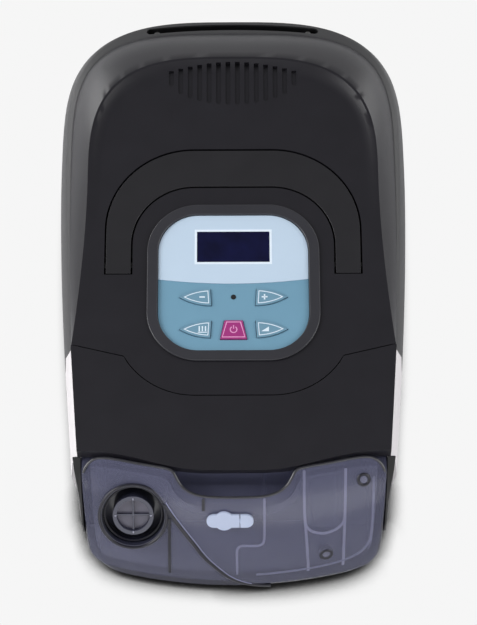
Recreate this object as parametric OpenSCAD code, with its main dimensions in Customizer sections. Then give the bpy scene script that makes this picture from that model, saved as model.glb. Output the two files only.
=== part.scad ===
// Breathing-therapy blower unit with a docked, heated humidifier and its water chamber.
// The machine stands on z = 0 with +X to the right, +Y to the rear and +Z up.
// The origin is the middle of the footprint of the whole machine.

/* [Blower unit] */
// Length of the blower unit, from its rear to the seam with the dock
unit_l = 213.5; // [208:0.5:222]
// Height of the blower unit over the floor
unit_h = 112; // [110:0.5:116]
// Greatest width of the blower unit
unit_w = 198; // [196:1:206]
// How much narrower the unit is on each side at the seam
seam_waist = 5.8; // [4:0.2:6.6]
// Height of the feet under both units
foot_h = 3; // [2:0.5:5]
// Radius of a foot
foot_r = 9; // [6:0.5:10]
// Wall of the lower shell
shell_wall = 2.5; // [2:0.1:3]
// Wall of the top cover
cover_wall = 2.8; // [2.2:0.1:3]
// Slope of the flat deck on the top cover, in degrees
deck_tilt = 8; // [7:0.5:8.5]
// Height of the crest over the deck at the rear
crest_h = 3.5; // [2:0.5:4]
// Distance from the rear of the unit to the crest
bevel_l = 42; // [39:0.5:45]
// How far below the unit's top the joint between cover and lower shell lies, at the seam
parting_drop = 32.5; // [31.5:0.5:34]
// Slope of that joint, in degrees
parting_tilt = 3.5; // [3:0.1:3.7]

/* [Carry handle] */
// Outer width of the handle's arch
handle_w = 140; // [134:1:142]
// Width of each leg
handle_leg = 13.6; // [11:0.2:15]
// Width of the grip across the top of the arch
grip_w = 22; // [18:0.5:24]
// Distance from the seam to the top of the arch, along the deck
handle_top = 116.2; // [112:0.2:118]
// Distance from the seam to the hinge pins, along the deck
handle_pivot = 48; // [46:0.5:52]
// Thickness of the handle
handle_t = 8; // [6:0.5:9]
// Gap between the handle and its pocket
handle_gap = 1; // [0.6:0.1:1.4]
// Radius of a hinge pin
pin_r = 2; // [1.5:0.1:2.2]
// Running clearance round a hinge pin
pin_clear = 0.05; // [0.02:0.01:0.09]
// How far the legs reach past the hinge pins
handle_lip = 6.2; // [5:0.1:6.4]

/* [Grip ribs and scoop] */
// Number of ribs in the rear grip
rib_count = 14; // [8:2:16]
// Distance from rib to rib
rib_pitch = 5.35; // [4:0.05:5.6]
// Width of a rib's groove
rib_w = 2.7; // [2:0.1:3.2]
// Depth of a rib's groove
rib_d = 0.8; // [0.4:0.1:1.2]
// Radius of the finger scoop behind the handle
scoop_r = 27; // [22:0.5:29]
// Slope of the scoop's floor, in degrees
scoop_tilt = 22; // [12:1:24]

/* [Control panel] */
// Width of the panel
panel_w = 82.4; // [81:0.2:86]
// Height of the panel
panel_h = 79.9; // [79:0.1:83]
// Corner radius of the panel
panel_r = 22; // [16:0.5:26]
// Distance from the seam to the panel's middle, along the deck
panel_v = 36.4; // [35:0.2:37]
// Width of the bezel round the panel
bezel_w = 6.2; // [5:0.1:7]
// Height of the bezel over the deck
bezel_h = 1.5; // [0.8:0.1:2]
// Thickness of the panel plate
plate_t = 2.3; // [2:0.1:2.6]
// Thickness of the light film on the upper part of the panel
film_t = 0.5; // [0.3:0.1:0.8]
// Width of the display window
window_w = 41.4; // [36:0.2:46]
// Height of the display window
window_h = 19.6; // [16:0.2:20]
// Length of a leaf-shaped key
key_l = 17; // [14:0.5:18]
// Height of a leaf-shaped key at its wide end
key_h = 9.8; // [8:0.2:11]
// Distance from the panel's middle line to a leaf key's wide end
key_x = 12.4; // [11:0.2:14]
// Travel of a key
key_travel = 0.8; // [0.4:0.1:0.9]
// Height of the keys over the panel
key_rise = 1; // [0.9:0.1:1.4]
// Gap between a key and its opening
key_gap = 0.25; // [0.15:0.05:0.35]

/* [Blower] */
// Distance of the blower's shaft to the right of the middle
blower_x = 12; // [8:1:14]
// Distance of the blower's shaft behind the seam
blower_v = 104.3; // [102:0.5:108]
// Outer radius of the blower housing
blower_r = 46; // [44:0.5:47]
// Radius of the impeller
impeller_r = 31; // [26:0.5:34]
// Number of blades
blade_count = 9; // [5:1:11]
// Radius of the motor shaft
shaft_r = 2; // [1.5:0.1:2.5]
// Height of the air path over the feet
air_rise = 41; // [40:0.5:43]
// Distance of the air path to the right of the middle
air_x = 48.6; // [47:0.2:50]
// Outer radius of the air ducts
duct_r = 10; // [9:0.1:10.4]
// Wall of the air ducts
duct_wall = 1.5; // [1:0.1:2]

/* [Dock] */
// Length of the dock's cover, from the seam to its lip
dock_l = 68.6; // [66:0.2:72]
// Gap between the blower unit and the dock
dock_gap = 0.3; // [0.2:0.1:0.6]
// Length of the cover's tongue over the dock
tongue_l = 29; // [27:0.5:30]
// Bend radius of the dock's cover
dock_bend_r = 190; // [170:5:220]
// How far the lip falls back at its ends
lip_bow = 9.8; // [8:0.2:11]
// Thickness of the heater plate
heater_t = 2.5; // [2:0.1:3]
// Width of the heater plate
heater_w = 104; // [90:1:110]

/* [Water chamber] */
// How far the chamber stands out past the dock's lip
chamber_out = 39.3; // [38:0.1:41]
// How far the chamber lies in from the unit's greatest width, on each side
chamber_inset = 17; // [16.5:0.1:18]
// Radius of the chamber's rounded front
chamber_r = 78; // [76:0.5:80]
// How far the chamber's front falls back at its ends
chamber_bow = 14; // [12:0.5:15]
// Slope of the chamber's front at its top edge, in degrees
chamber_slope = 30; // [28:0.5:32]
// Wall of the chamber
chamber_wall = 2.6; // [2:0.1:3]
// How much narrower the chamber is in the dock than in front, on each side
chamber_step = 8; // [7:0.2:10]
// Depth of the finger notch in the chamber's top edge
notch_l = 12.4; // [10:0.2:13]
// Outer radius of the outlet connector, the usual 22 mm hose fitting
outlet_r = 11; // [11:0.01:11.05]
// Bore radius of the outlet connector
outlet_bore = 8.8; // [8:0.1:9.2]
// Free length of the outlet connector
outlet_l = 16; // [15:0.5:17]
// Radius of the well round the outlet connector
well_r = 16.9; // [16.4:0.1:17.2]
// Slope of the outlet's axis from upright, in degrees
outlet_tilt = 47; // [44:1:50]
// Radius of the filling hole
fill_r = 4.6; // [4:0.1:5]
// Thickness of the filling stopper's strap
strap_t = 2.2; // [1.8:0.1:2.6]

/* [Rear] */
// Width of the slot in the rear ledge
slot_w = 100; // [90:1:102]
// Height of the slot
slot_h = 4.6; // [4.4:0.1:4.8]
// Depth of the slot
slot_d = 9; // [7:0.5:12]
// Width of the filter opening
filter_w = 42; // [36:1:44]
// Height of the filter opening
filter_h = 40; // [34:1:44]

/* [Hidden] */
$fn = 64;
eps = 0.01;

// Stations along Y
total_l = unit_l + dock_l + chamber_out;
rear_y = total_l / 2;
seam_y = rear_y - unit_l;
lip_y = seam_y - dock_l;
front_y = -total_l / 2;
parting_z = unit_h - parting_drop;
chamber_w = unit_w - 2 * chamber_inset;
chamber_in_w = chamber_w - 2 * chamber_step;
air_z = foot_h + air_rise;
crest_y = rear_y - bevel_l;
dock_rear_y = seam_y - dock_gap;
chamber_rear_y = dock_rear_y - 10;
// The deck keeps the crest at the unit's height
deck_rear_z = unit_h - crest_h;
crest_fade_y = seam_y + 62;
shell_z = foot_h;
floor_z = shell_z + shell_wall;
chassis_t = 2;
chassis_z = floor_z + chassis_t;

function part_z(y) = parting_z + (y - seam_y) * tan(parting_tilt);
function deck_z(y) = deck_rear_z - (crest_y - y) * tan(deck_tilt);
function crest_z(y) = deck_z(y) + crest_h * max(0, y - crest_fade_y) / (crest_y - crest_fade_y);
function mix(a, b, t) = a + (b - a) * t;
function smooth(t) = let (c = min(1, max(0, t))) c * c * (3 - 2 * c);

// Plan outline of the unit: straight sides that draw in at the seam, and a round rear
function half_plan(w_seam, w_mid, y_front, y_mid, y_rear, n) = concat(
    [for (i = [0:4]) [mix(w_mid, w_seam, pow(1 - i / 5, 1.7)), mix(y_front, y_mid, i / 5)]],
    [for (a = [0:6:84]) [w_mid * pow(cos(a), 2 / n), y_mid + (y_rear - y_mid) * pow(sin(a), 2 / n)]]
);
function full_plan(h, y_rear) = concat(
    h, [[0, y_rear]], [for (i = [len(h) - 1:-1:0]) [-h[i][0], h[i][1]]]
);
function plan(w_seam, w_mid, y_front, y_mid, y_rear, n) =
    full_plan(half_plan(w_seam, w_mid, y_front, y_mid, y_rear, n), y_rear);

// A closed body through rings of points: the first and last rings are capped
module skin(rings) {
    n = len(rings[0]);
    last = len(rings) - 1;
    points = [for (ring = rings) for (p = ring) p];
    sides = [
        for (k = [0:last - 1]) for (i = [0:n - 1])
            let (a = k * n + i, b = k * n + (i + 1) % n, c = b + n, d = a + n)
            for (t = [[a, d, c], [a, c, b]]) t
    ];
    polyhedron(points, concat([[for (i = [0:n - 1]) i]], sides, [[for (i = [n - 1:-1:0]) last * n + i]]));
}

// A frame on the deck: the origin is on the seam, +Y runs up the deck and +Z stands off it
module on_deck() {
    translate([0, seam_y, deck_z(seam_y)]) rotate([deck_tilt, 0, 0]) children();
}

module round_rect(w, h, r) {
    square([w - 2 * r, h], center = true);
    square([w, h - 2 * r], center = true);
    for (x = [-1, 1]) for (y = [-1, 1]) translate([x * (w / 2 - r), y * (h / 2 - r)]) circle(r);
}

module box(from, to) {
    translate(from) cube(to - from);
}

module along_y(from, to, r) {
    translate([0, to, 0]) rotate([90, 0, 0]) cylinder(r = r, h = to - from);
}

module along_x(from, to, r) {
    translate([from, 0, 0]) rotate([0, 90, 0]) cylinder(r = r, h = to - from);
}

// ---- Lower shell: each row is [inset at mid, rear inset, share of the height, exponent, mid over the seam]
shell_rows = [
    [13, 9, 0, 3.6, 124], [6, 3.5, 0.06, 3.6, 124], [2, 0.8, 0.3, 3.6, 124], [0, 0, 0.6, 3.6, 124],
    [1.4, 0, 0.84, 3.6, 124], [4.6, 1.2, 0.975, 3.2, 124], [7.6, 10.7, 1, 3.6, 112],
];
half_w = unit_w / 2;
parting_waist = 3;
rim_t = 2.4;

function shell_ring(row, in, lift, drop) =
    let (waist = row[2] == 1 ? parting_waist : seam_waist, w = half_w - row[0] - in,
         p = plan(w - waist, w, seam_y + in, seam_y + row[4], rear_y - row[1] - in, row[3]))
    [for (q = p) [q[0], q[1], max(shell_z + lift, mix(shell_z, part_z(q[1]), row[2]) - drop)]];

module filter_place() {
    translate([-25, rear_y, 42]) children();
}

module inlet_place() {
    translate([28, rear_y, 34]) children();
}

card_y = seam_y + 32;
card_z = 12;
socket_x = -40;
socket_z = 34;

slot_y = rear_y - 5.6;
slot_top_z = part_z(slot_y) - 2.8;
slot_wall = 1.2;
slot_bend = 420;
module slot_2d(grow) {
    lean = slot_w / 2 - slot_h / 2;
    angle = asin(lean / slot_bend);
    translate([0, slot_y - slot_bend]) {
        intersection() {
            difference() {
                circle(slot_bend + slot_h / 2 + grow, $fn = 360);
                circle(slot_bend - slot_h / 2 - grow, $fn = 360);
            }
            polygon([
                [0, 0], 2 * slot_bend * [-sin(angle), cos(angle)], 2 * slot_bend * [sin(angle), cos(angle)]
            ]);
        }
        for (s = [-1, 1]) rotate(s * angle) translate([0, slot_bend]) circle(slot_h / 2 + grow);
    }
}

module lower_shell() {
    color("silver") difference() {
        skin(concat(
            [for (row = shell_rows) shell_ring(row, 0, 0, 0)],
            [shell_ring(shell_rows[6], shell_wall, 0, 0)],
            [for (i = [6:-1:0]) shell_ring(shell_rows[i], shell_wall, shell_wall, i > 4 ? rim_t : 0)]
        ));
        translate([0, 0, slot_top_z - 20]) linear_extrude(20) slot_2d(slot_wall);
        translate([0, 0, slot_top_z - 1]) linear_extrude(20) slot_2d(0);
        filter_place() cube([filter_w, 30, filter_h], center = true);
        inlet_place() cube([inlet_w, 30, inlet_h], center = true);
        translate([air_x, 0, air_z]) along_y(seam_y - 5, seam_y + 5, duct_r);
        box([half_w - 20, card_y - 13, card_z - 1.6], [half_w + 5, card_y + 13, card_z + 1.6]);
        box([socket_x - 16, seam_y - 5, socket_z - 6], [socket_x + 16, seam_y + 5, socket_z + 6]);
        for (p = post_places) translate([p[0], p[1], shell_z - 1]) {
            cylinder(r = screw_head_r + 0.2, h = screw_head_z + screw_head_h - shell_z + 1);
            cylinder(r = screw_r + 0.1, h = 5);
        }
    }
}

// ---- Top cover
post_places = [
    for (s = [-1, 1]) for (p = [[72, seam_y + 9], [62, seam_y + 146]]) [s * p[0], p[1]],
];
post_w = 8;
screw_r = 1.5;
screw_head_r = 3;
screw_head_h = 1.5;
screw_head_z = shell_z + 0.2;
parting_half = half_w - 7.6;
crest_half = parting_half - 10.4;
crest_seam_half = parting_half - parting_waist - 0.4;
cove_w = 8;
parting_rear_y = rear_y - 10.7;
crest_mid_y = seam_y + 97;
parting_mid_y = seam_y + 112;

function parting_plan(in) = plan(
    parting_half - parting_waist - in, parting_half - in, seam_y + in, parting_mid_y, parting_rear_y - in, 3.6
);
function crest_plan(in, front) = plan(
    crest_seam_half - in, crest_half - in, seam_y + front, crest_mid_y, crest_y - in, 3.1
);

module cover_body() {
    outer = parting_plan(0);
    inner = parting_plan(cover_wall);
    crest = crest_plan(0, 0);
    lip = crest_plan(1.2, 1.2);
    cove = crest_plan(cove_w, 3);
    under = crest_plan(cover_wall, cover_wall);
    skin([
        [for (p = under) [p[0], p[1], deck_z(p[1]) - cover_wall]],
        [for (p = inner) [p[0], p[1], part_z(p[1])]],
        [for (p = outer) [p[0], p[1], part_z(p[1])]],
        [for (i = [0:len(outer) - 1])
            let (a = outer[i], b = crest[i], y = mix(a[1], b[1], 0.5))
            [mix(a[0], b[0], 0.44), y, mix(part_z(a[1]), crest_z(b[1]), 0.55)]],
        [for (p = crest) [p[0], p[1], crest_z(p[1])]],
        [for (p = lip) [p[0], p[1], crest_z(p[1])]],
        [for (p = cove) [p[0], p[1], deck_z(p[1])]],
    ]);
}

// The arch of the handle in the deck's plane, grown or shrunk all round
arch_out_r = 48;
arch_in_r = 35;
module arch_2d(grow, end_v) {
    x_out = handle_w / 2 + grow;
    x_in = handle_w / 2 - handle_leg - grow;
    top = handle_top + grow;
    under = handle_top - grip_w - grow;
    difference() {
        arch_fill(x_out, top, arch_out_r + grow, end_v - grow);
        translate([0, -1]) arch_fill(x_in, under + 1, arch_in_r - grow, end_v - grow);
    }
}

module arch_fill(x, top, r, end_v) {
    translate([-x, end_v]) square([2 * x, top - r - end_v]);
    translate([r - x, end_v]) square([2 * (x - r), top - end_v]);
    for (s = [0, 1]) mirror([s, 0]) translate([x - r, top - r]) intersection() {
        circle(r);
        square(r);
    }
}

pivot_z = -handle_t / 2 - 0.2;
lip_sweep_r = norm([handle_lip, pivot_z]) + 0.5;
leg_mid_x = handle_w / 2 - handle_leg / 2;
pocket_d = handle_t + 0.7;
pin_bite = 4;

module handle_housing() {
    on_deck() {
        translate([0, 0, -pocket_d - 2]) linear_extrude(pocket_d + 1) arch_2d(handle_gap + 2, handle_pivot);
        for (s = [-1, 1]) translate([s * leg_mid_x, handle_pivot, 0])
            box([-pivot_box_w, -lip_sweep_r - 2, pivot_z - lip_sweep_r - 2],
                [pivot_box_w, lip_sweep_r + 2, -1]);
    }
}
pivot_box_w = handle_leg / 2 + handle_gap + pin_bite + 0.5;

module handle_pocket() {
    on_deck() {
        translate([0, 0, -pocket_d]) linear_extrude(pocket_d + 9) arch_2d(handle_gap, handle_pivot);
        for (s = [-1, 1]) translate([s * leg_mid_x, handle_pivot, pivot_z]) {
            along_x(-handle_leg / 2 - handle_gap, handle_leg / 2 + handle_gap, lip_sweep_r);
            along_x(-handle_leg / 2 - handle_gap - pin_bite, handle_leg / 2 + handle_gap + pin_bite, pin_r);
        }
    }
}

// Grooves of the rear grip: their lower ends follow half an ellipse
rib_half = rib_pitch * (rib_count - 1) / 2;
rib_low_v = 146.4;
rib_end_v = 162;
rib_top_v = 171;
module grip_ribs() {
    on_deck() for (i = [0:rib_count - 1]) {
        x = i * rib_pitch - rib_half;
        low = rib_end_v - (rib_end_v - rib_low_v) * sqrt(1 - pow(x / (rib_half + 1), 2));
        top = rib_top_v - 5 * pow(x / rib_half, 2);
        translate([x, 0, -rib_d]) linear_extrude(8) {
            translate([-rib_w / 2, low]) square([rib_w, max(0.5, top - low)]);
            translate([0, low]) circle(rib_w / 2, $fn = 24);
        }
    }
}

scoop_v = handle_top + 12.5;
module scoop_pad() {
    on_deck() translate([0, 0, -7.4]) linear_extrude(7) intersection() {
        translate([0, scoop_v - scoop_r]) circle(scoop_r + 2);
        translate([-scoop_r, handle_top]) square(2 * scoop_r);
    }
}

module finger_scoop() {
    on_deck() translate([0, scoop_v, 0]) rotate([scoop_tilt, 0, 0]) translate([0, -scoop_r, 0])
        cylinder(r = scoop_r, h = 12);
}

// Plan of the tongue that laps over the dock, in the deck's plane
tongue_r = 44;
tongue_flat = 21;
kink_x = 59.5;
kink_v = -6.4;
tongue_side = parting_half - parting_waist - 2;
function tongue_edge(grow) = concat(
    [[-tongue_side, grow], [-kink_x, kink_v + grow]],
    [for (a = [35:5:90]) [
        -tongue_flat - (tongue_r - grow) * cos(a), tongue_r - tongue_l - (tongue_r - grow) * sin(a)]],
    [for (a = [90:-5:35]) [
        tongue_flat + (tongue_r - grow) * cos(a), tongue_r - tongue_l - (tongue_r - grow) * sin(a)]],
    [[kink_x, kink_v + grow], [tongue_side, grow]]
);

module tongue_2d(grow, back) {
    polygon(concat(tongue_edge(grow), [[tongue_side - 1, back], [1 - tongue_side, back]]));
}

module panel_2d(grow) {
    translate([0, panel_v]) round_rect(panel_w + 2 * grow, panel_h + 2 * grow, panel_r + grow);
}

module top_cover() {
    color([0.19, 0.19, 0.2]) {
        difference() {
            union() {
                cover_body();
                on_deck() translate([0, 0, -cover_wall]) linear_extrude(cover_wall) tongue_2d(0, 3);
                intersection() {
                    handle_housing();
                    translate([0, 0, -60]) cover_fill();
                }
                scoop_pad();
                for (p = post_places) translate([p[0] - post_w / 2, p[1] - post_w / 2, chassis_z])
                    cube([post_w, post_w, deck_z(p[1]) - chassis_z - cover_wall / 2]);
            }
            handle_pocket();
            grip_ribs();
            finger_scoop();
            on_deck() translate([0, 0, -20]) linear_extrude(30) panel_2d(collar_w);
            for (p = post_places) translate([p[0], p[1], chassis_z - 1]) cylinder(r = screw_r, h = 13);
        }
    }
}

// A deep block under the deck, that keeps what hangs under it inside the cover
module cover_fill() {
    on_deck() linear_extrude(60 - 0.5) square([2 * crest_half - 8, 400], center = true);
}

// ---- Pieces in the top cover
module handle() {
    color([0.18, 0.18, 0.19]) on_deck() difference() {
        union() {
            translate([0, 0, -handle_t]) linear_extrude(handle_t) arch_2d(0, handle_pivot);
            for (s = [-1, 1]) translate([s * leg_mid_x, handle_pivot, 0]) {
                translate([0, 0, pivot_z]) along_x(-handle_leg / 2, handle_leg / 2, -pivot_z);
                box([-handle_leg / 2, -handle_lip, -2], [handle_leg / 2, 0, 0]);
            }
        }
        for (s = [-1, 1]) translate([s * leg_mid_x, handle_pivot, pivot_z])
            along_x(-handle_leg, handle_leg, pin_r + pin_clear);
    }
}

module handle_pins() {
    color("gainsboro") on_deck() for (s = [-1, 1]) translate([s * leg_mid_x, handle_pivot, pivot_z])
        along_x(-handle_leg / 2 - handle_gap - pin_bite, handle_leg / 2 + handle_gap + pin_bite, pin_r);
}

collar_w = 3;
bezel_d = 4;
plate_top = -film_t;
plate_low = plate_top - plate_t;
module panel_bezel() {
    color([0.24, 0.24, 0.27]) on_deck() difference() {
        union() {
            linear_extrude(bezel_h) panel_2d(bezel_w);
            translate([0, 0, -bezel_d]) linear_extrude(bezel_d) panel_2d(collar_w);
        }
        translate([0, 0, plate_low]) linear_extrude(20) panel_2d(0.2);
        translate([0, 0, -bezel_d - 1]) linear_extrude(20) panel_2d(-1.6);
    }
}

// Keys: leaf shapes on both sides, and a tapered one in the middle
row_1_v = 27.5;
row_2_v = 8.7;
leaf_r = (pow(key_l, 2) + pow(key_h / 2, 2)) / key_h;
module leaf_2d(grow, slant) {
    intersection() {
        for_both(grow);
        polygon([
            [-key_l - 2, -12], [slant + grow, -12], [-slant + grow, 12], [-key_l - 2, 12]
        ]);
    }
}

module for_both(grow) {
    intersection() {
        translate([0, key_h / 2 - leaf_r]) circle(leaf_r + grow, $fn = 128);
        translate([0, leaf_r - key_h / 2]) circle(leaf_r + grow, $fn = 128);
    }
}

module middle_key_2d(grow) {
    polygon([
        [-7.3 - grow, -5.5 - grow], [7.3 + grow, -5.5 - grow],
        [4.9 + grow, 5.5 + grow], [-4.9 - grow, 5.5 + grow]
    ]);
}

module key_place(name) {
    if (name == "minus") translate([-key_x, row_1_v]) children();
    if (name == "plus") translate([key_x, row_1_v]) mirror([1, 0, 0]) children();
    if (name == "humidity") translate([-key_x, row_2_v]) children();
    if (name == "ramp") translate([key_x, row_2_v]) mirror([1, 0, 0]) children();
    if (name == "power") translate([0, row_2_v - 0.3]) children();
}

module key_2d(name, grow) {
    key_place(name) {
        if (name == "power") middle_key_2d(grow);
        if (name == "minus" || name == "plus") leaf_2d(grow, 0.8);
        if (name == "humidity" || name == "ramp") leaf_2d(grow, -0.8);
    }
}
KEYS = ["minus", "plus", "humidity", "power", "ramp"];
key_rim = 0.8;
key_low = plate_low - 1.2;

module key(name) {
    on_deck() {
        translate([0, 0, key_low]) linear_extrude(plate_top + key_rise - key_low) key_2d(name, 0);
        translate([0, 0, key_low]) linear_extrude(plate_low - key_low) key_2d(name, key_rim);
    }
}

module key_minus() { color([0.45, 0.6, 0.72]) key("minus"); }
module key_plus() { color([0.45, 0.6, 0.72]) key("plus"); }
module key_humidity() { color([0.45, 0.6, 0.72]) key("humidity"); }
module key_power() { color([0.75, 0.25, 0.55]) key("power"); }
module key_ramp() { color([0.45, 0.6, 0.72]) key("ramp"); }

window_v = 57.5;
lens_v = 27.8;
lens_r = 1.4;
board_z = plate_low - 4.4;
board_t = 1.6;
post_x = 33;
module board_posts(r, z) {
    for (x = [-post_x, post_x]) for (v = [18, 50]) translate([x, v, z]) cylinder(r = r, h = plate_low - z);
}

module panel_plate() {
    color([0.41, 0.57, 0.69]) on_deck() {
        difference() {
            translate([0, 0, plate_low]) linear_extrude(plate_t) panel_2d(0);
            translate([0, window_v, 0]) cube([window_w, window_h, 20], center = true);
            for (k = KEYS) translate([0, 0, -10]) linear_extrude(20) key_2d(k, key_gap);
            translate([0, lens_v, -10]) cylinder(r = lens_r, h = 20);
        }
        board_posts(2.2, board_z);
    }
}

// The split between the light and the darker part of the panel bows down in the middle
split_v = 38.6;
split_bow = 3;
module panel_film() {
    color([0.76, 0.83, 0.9]) on_deck() translate([0, 0, plate_top]) linear_extrude(film_t) difference() {
        panel_2d(0);
        translate([0, window_v]) square([window_w, window_h], center = true);
        polygon(concat(
            [[-60, -20], [-60, split_v]],
            [for (x = [-44:4:44]) [x, split_v - split_bow * (1 - pow(x / 44, 2))]],
            [[60, split_v], [60, -20]]
        ));
    }
}

glass_t = 1.2;
module display_window() {
    color([0.1, 0.11, 0.2]) on_deck() translate([0, window_v, -glass_t / 2])
        cube([window_w, window_h, glass_t], center = true);
}

module display_module() {
    color("dimgray") on_deck() {
        box([-24, window_v - 12, board_z], [24, window_v + 12, plate_low]);
        box([-window_w / 2 + 0.5, window_v - window_h / 2 + 0.5, plate_low],
            [window_w / 2 - 0.5, window_v + window_h / 2 - 0.5, -glass_t]);
    }
}

module status_lens() {
    color([0.05, 0.05, 0.06]) on_deck() translate([0, lens_v, plate_low - 1.6])
        cylinder(r = lens_r, h = plate_t + 1.6 + 0.2);
}

mat_t = 1.2;
module key_mat() {
    color([0.85, 0.85, 0.82]) on_deck() {
        box([-29, 3, board_z], [29, 34, board_z + mat_t]);
        for (x = [-20, 20]) for (v = [row_1_v, row_2_v]) translate([x, v, board_z + mat_t])
            cylinder(r = 2.6, h = key_low - key_travel - 0.15 - board_z - mat_t);
        translate([0, row_2_v, board_z + mat_t])
            cylinder(r = 2.6, h = key_low - key_travel - 0.15 - board_z - mat_t);
        translate([0, lens_v, board_z + mat_t]) cylinder(r = 1.2, h = plate_low - 1.6 - board_z - mat_t);
    }
}

module key_board() {
    color([0.1, 0.35, 0.2]) on_deck() {
        box([-37, 3, board_z - board_t], [37, 72, board_z]);
        box([-12, 20, board_z - board_t - 4], [12, 32, board_z - board_t]);
        box([-30, 44, board_z - board_t - 2.5], [-14, 60, board_z - board_t]);
    }
}

// ---- Rear pieces
module rear_slot_liner() {
    color([0.1, 0.1, 0.11]) translate([0, 0, slot_top_z - slot_d]) difference() {
        translate([0, 0, -slot_wall]) linear_extrude(slot_d + slot_wall) slot_2d(slot_wall);
        linear_extrude(slot_d + 1) slot_2d(0);
    }
}

module slot_screws() {
    color("silver") for (s = [-1, 1]) translate([s * 44, slot_y - 2.3, slot_top_z - slot_d])
        cylinder(r = 1.6, h = 7.5, $fn = 32);
}

module filter_frame() {
    color([0.3, 0.3, 0.32]) filter_place() difference() {
        box([-filter_w / 2, -32, -filter_h / 2], [filter_w / 2, -1, filter_h / 2]);
        box([-filter_w / 2 + 2, -13, -filter_h / 2 + 2], [filter_w / 2 - 2, 1, filter_h / 2 - 2]);
        rotate([90, 0, 0]) translate([0, 0, 10]) cylinder(r = 12, h = 30);
    }
}

module air_filter() {
    color([0.75, 0.75, 0.72]) filter_place()
        box([-filter_w / 2 + 2.3, -13, -filter_h / 2 + 2.3], [filter_w / 2 - 2.3, -4.6, filter_h / 2 - 2.3]);
}

module filter_cover() {
    w = filter_w / 2 - 2.3;
    h = filter_h / 2 - 2.3;
    color([0.32, 0.32, 0.34]) filter_place() difference() {
        box([-w, -4.4, -h], [w, -0.2, h]);
        box([-w + 1.6, -5, -h + 1.6], [w - 1.6, -2.2, h - 1.6]);
        for (z = [-12:6:12]) box([-w + 4, -6, z - 1.2], [w - 4, 1, z + 1.2]);
    }
}

inlet_w = 30;
inlet_h = 22;
inlet_cavity_w = 24.4;
inlet_cavity_h = 16.4;
module power_inlet() {
    color([0.12, 0.12, 0.13]) inlet_place() {
        difference() {
            union() {
                box([-inlet_w / 2, -5, -inlet_h / 2], [inlet_w / 2, -0.4, inlet_h / 2]);
                box([1.2 - inlet_w / 2, -24, 1.2 - inlet_h / 2], [inlet_w / 2 - 1.2, -5, inlet_h / 2 - 1.2]);
            }
            box([-inlet_cavity_w / 2, -18, -inlet_cavity_h / 2], [inlet_cavity_w / 2, 1, inlet_cavity_h / 2]);
        }
        for (p = [[-7, -2], [0, 2], [7, -2]]) box([p[0] - 1, -18.5, p[1] - 2], [p[0] + 1, -7, p[1] + 2]);
    }
}

// ---- Inside the blower unit
module chassis() {
    color([0.55, 0.56, 0.58]) difference() {
        union() {
            translate([0, 0, floor_z]) linear_extrude(chassis_t) {
                translate([0, seam_y + 101]) round_rect(152, 188, 30);
                for (p = post_places) translate([p[0], p[1]]) square(post_w, center = true);
            }
            translate([-62, seam_y + 10, chassis_z]) cube([4, 110, 5]);
            translate([-48, seam_y + 10, chassis_z]) cube([4, 110, 5]);
            for (x = [-26, 22]) translate([x, seam_y + 10, chassis_z]) cube([4, 44, 12]);
            translate([-50, rear_y - 58, chassis_z]) cube([50, 22, 42 - filter_h / 2 - chassis_z]);
            translate([18, rear_y - 24, chassis_z]) cube([20, 10, 34 - inlet_h / 2 + 1.2 - chassis_z]);
            translate([socket_x - 10, seam_y + 7.2, chassis_z]) cube([20, 2.6, socket_z - 6 - chassis_z]);
        }
        for (p = post_places) translate([p[0], p[1], 0]) cylinder(r = screw_r, h = 20);
    }
}

module case_screws() {
    color("gainsboro") for (p = post_places) translate([p[0], p[1], screw_head_z]) {
        cylinder(r = screw_head_r, h = screw_head_h);
        cylinder(r = screw_r, h = 15);
    }
}

module foot_group(places) {
    for (p = places) translate([p[0], p[1], 0]) cylinder(r = foot_r, h = foot_h);
}

unit_feet_x = half_w - 34;
module unit_feet() {
    color([0.12, 0.12, 0.12]) foot_group([
        for (s = [-1, 1]) for (y = [seam_y + 18, rear_y - 42]) [s * unit_feet_x, y]
    ]);
}

blower_y = seam_y + blower_v;
blower_z = 16;
split_z = air_z - 2;
blower_wall = 2.5;
module blower_place() {
    translate([blower_x, blower_y, 0]) children();
}

module volute_solid(r, z, h) {
    translate([0, 0, z]) cylinder(r = r, h = h, $fn = 96);
}

module blower_base() {
    color([0.85, 0.85, 0.83]) difference() {
        blower_place() volute_solid(blower_r, blower_z, split_z - blower_z);
        blower_place() volute_solid(blower_r - blower_wall, blower_z + blower_wall, 60);
        translate([air_x, 0, air_z]) along_y(seam_y, blower_y, duct_r);
    }
}

lid_top_z = air_z + 11.5;
module blower_lid() {
    color([0.8, 0.8, 0.78]) difference() {
        blower_place() volute_solid(blower_r, split_z, lid_top_z - split_z);
        blower_place()
            volute_solid(blower_r - blower_wall, split_z - 1, lid_top_z - split_z - blower_wall + 1);
        blower_place() volute_solid(16, split_z, 40);
        translate([air_x, 0, air_z]) along_y(seam_y, blower_y, duct_r);
    }
}

module blower_mounts() {
    color([0.9, 0.55, 0.3]) blower_place() for (a = [45:90:315]) rotate(a) translate([34, 0, chassis_z])
        cylinder(r = 6, h = blower_z - chassis_z);
}

stator_z = blower_z + blower_wall;
stator_h = 16;
bearing_r = 5;
bearing_h = 3;
module motor_stator() {
    color([0.72, 0.45, 0.2]) blower_place() difference() {
        translate([0, 0, stator_z]) cylinder(r = 17, h = stator_h);
        translate([0, 0, stator_z - 1]) cylinder(r = bearing_r, h = stator_h + 2);
        for (a = [0:40:320]) rotate(a) translate([13.5, 0, stator_z + 3]) cylinder(r = 2, h = stator_h);
    }
}

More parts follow.
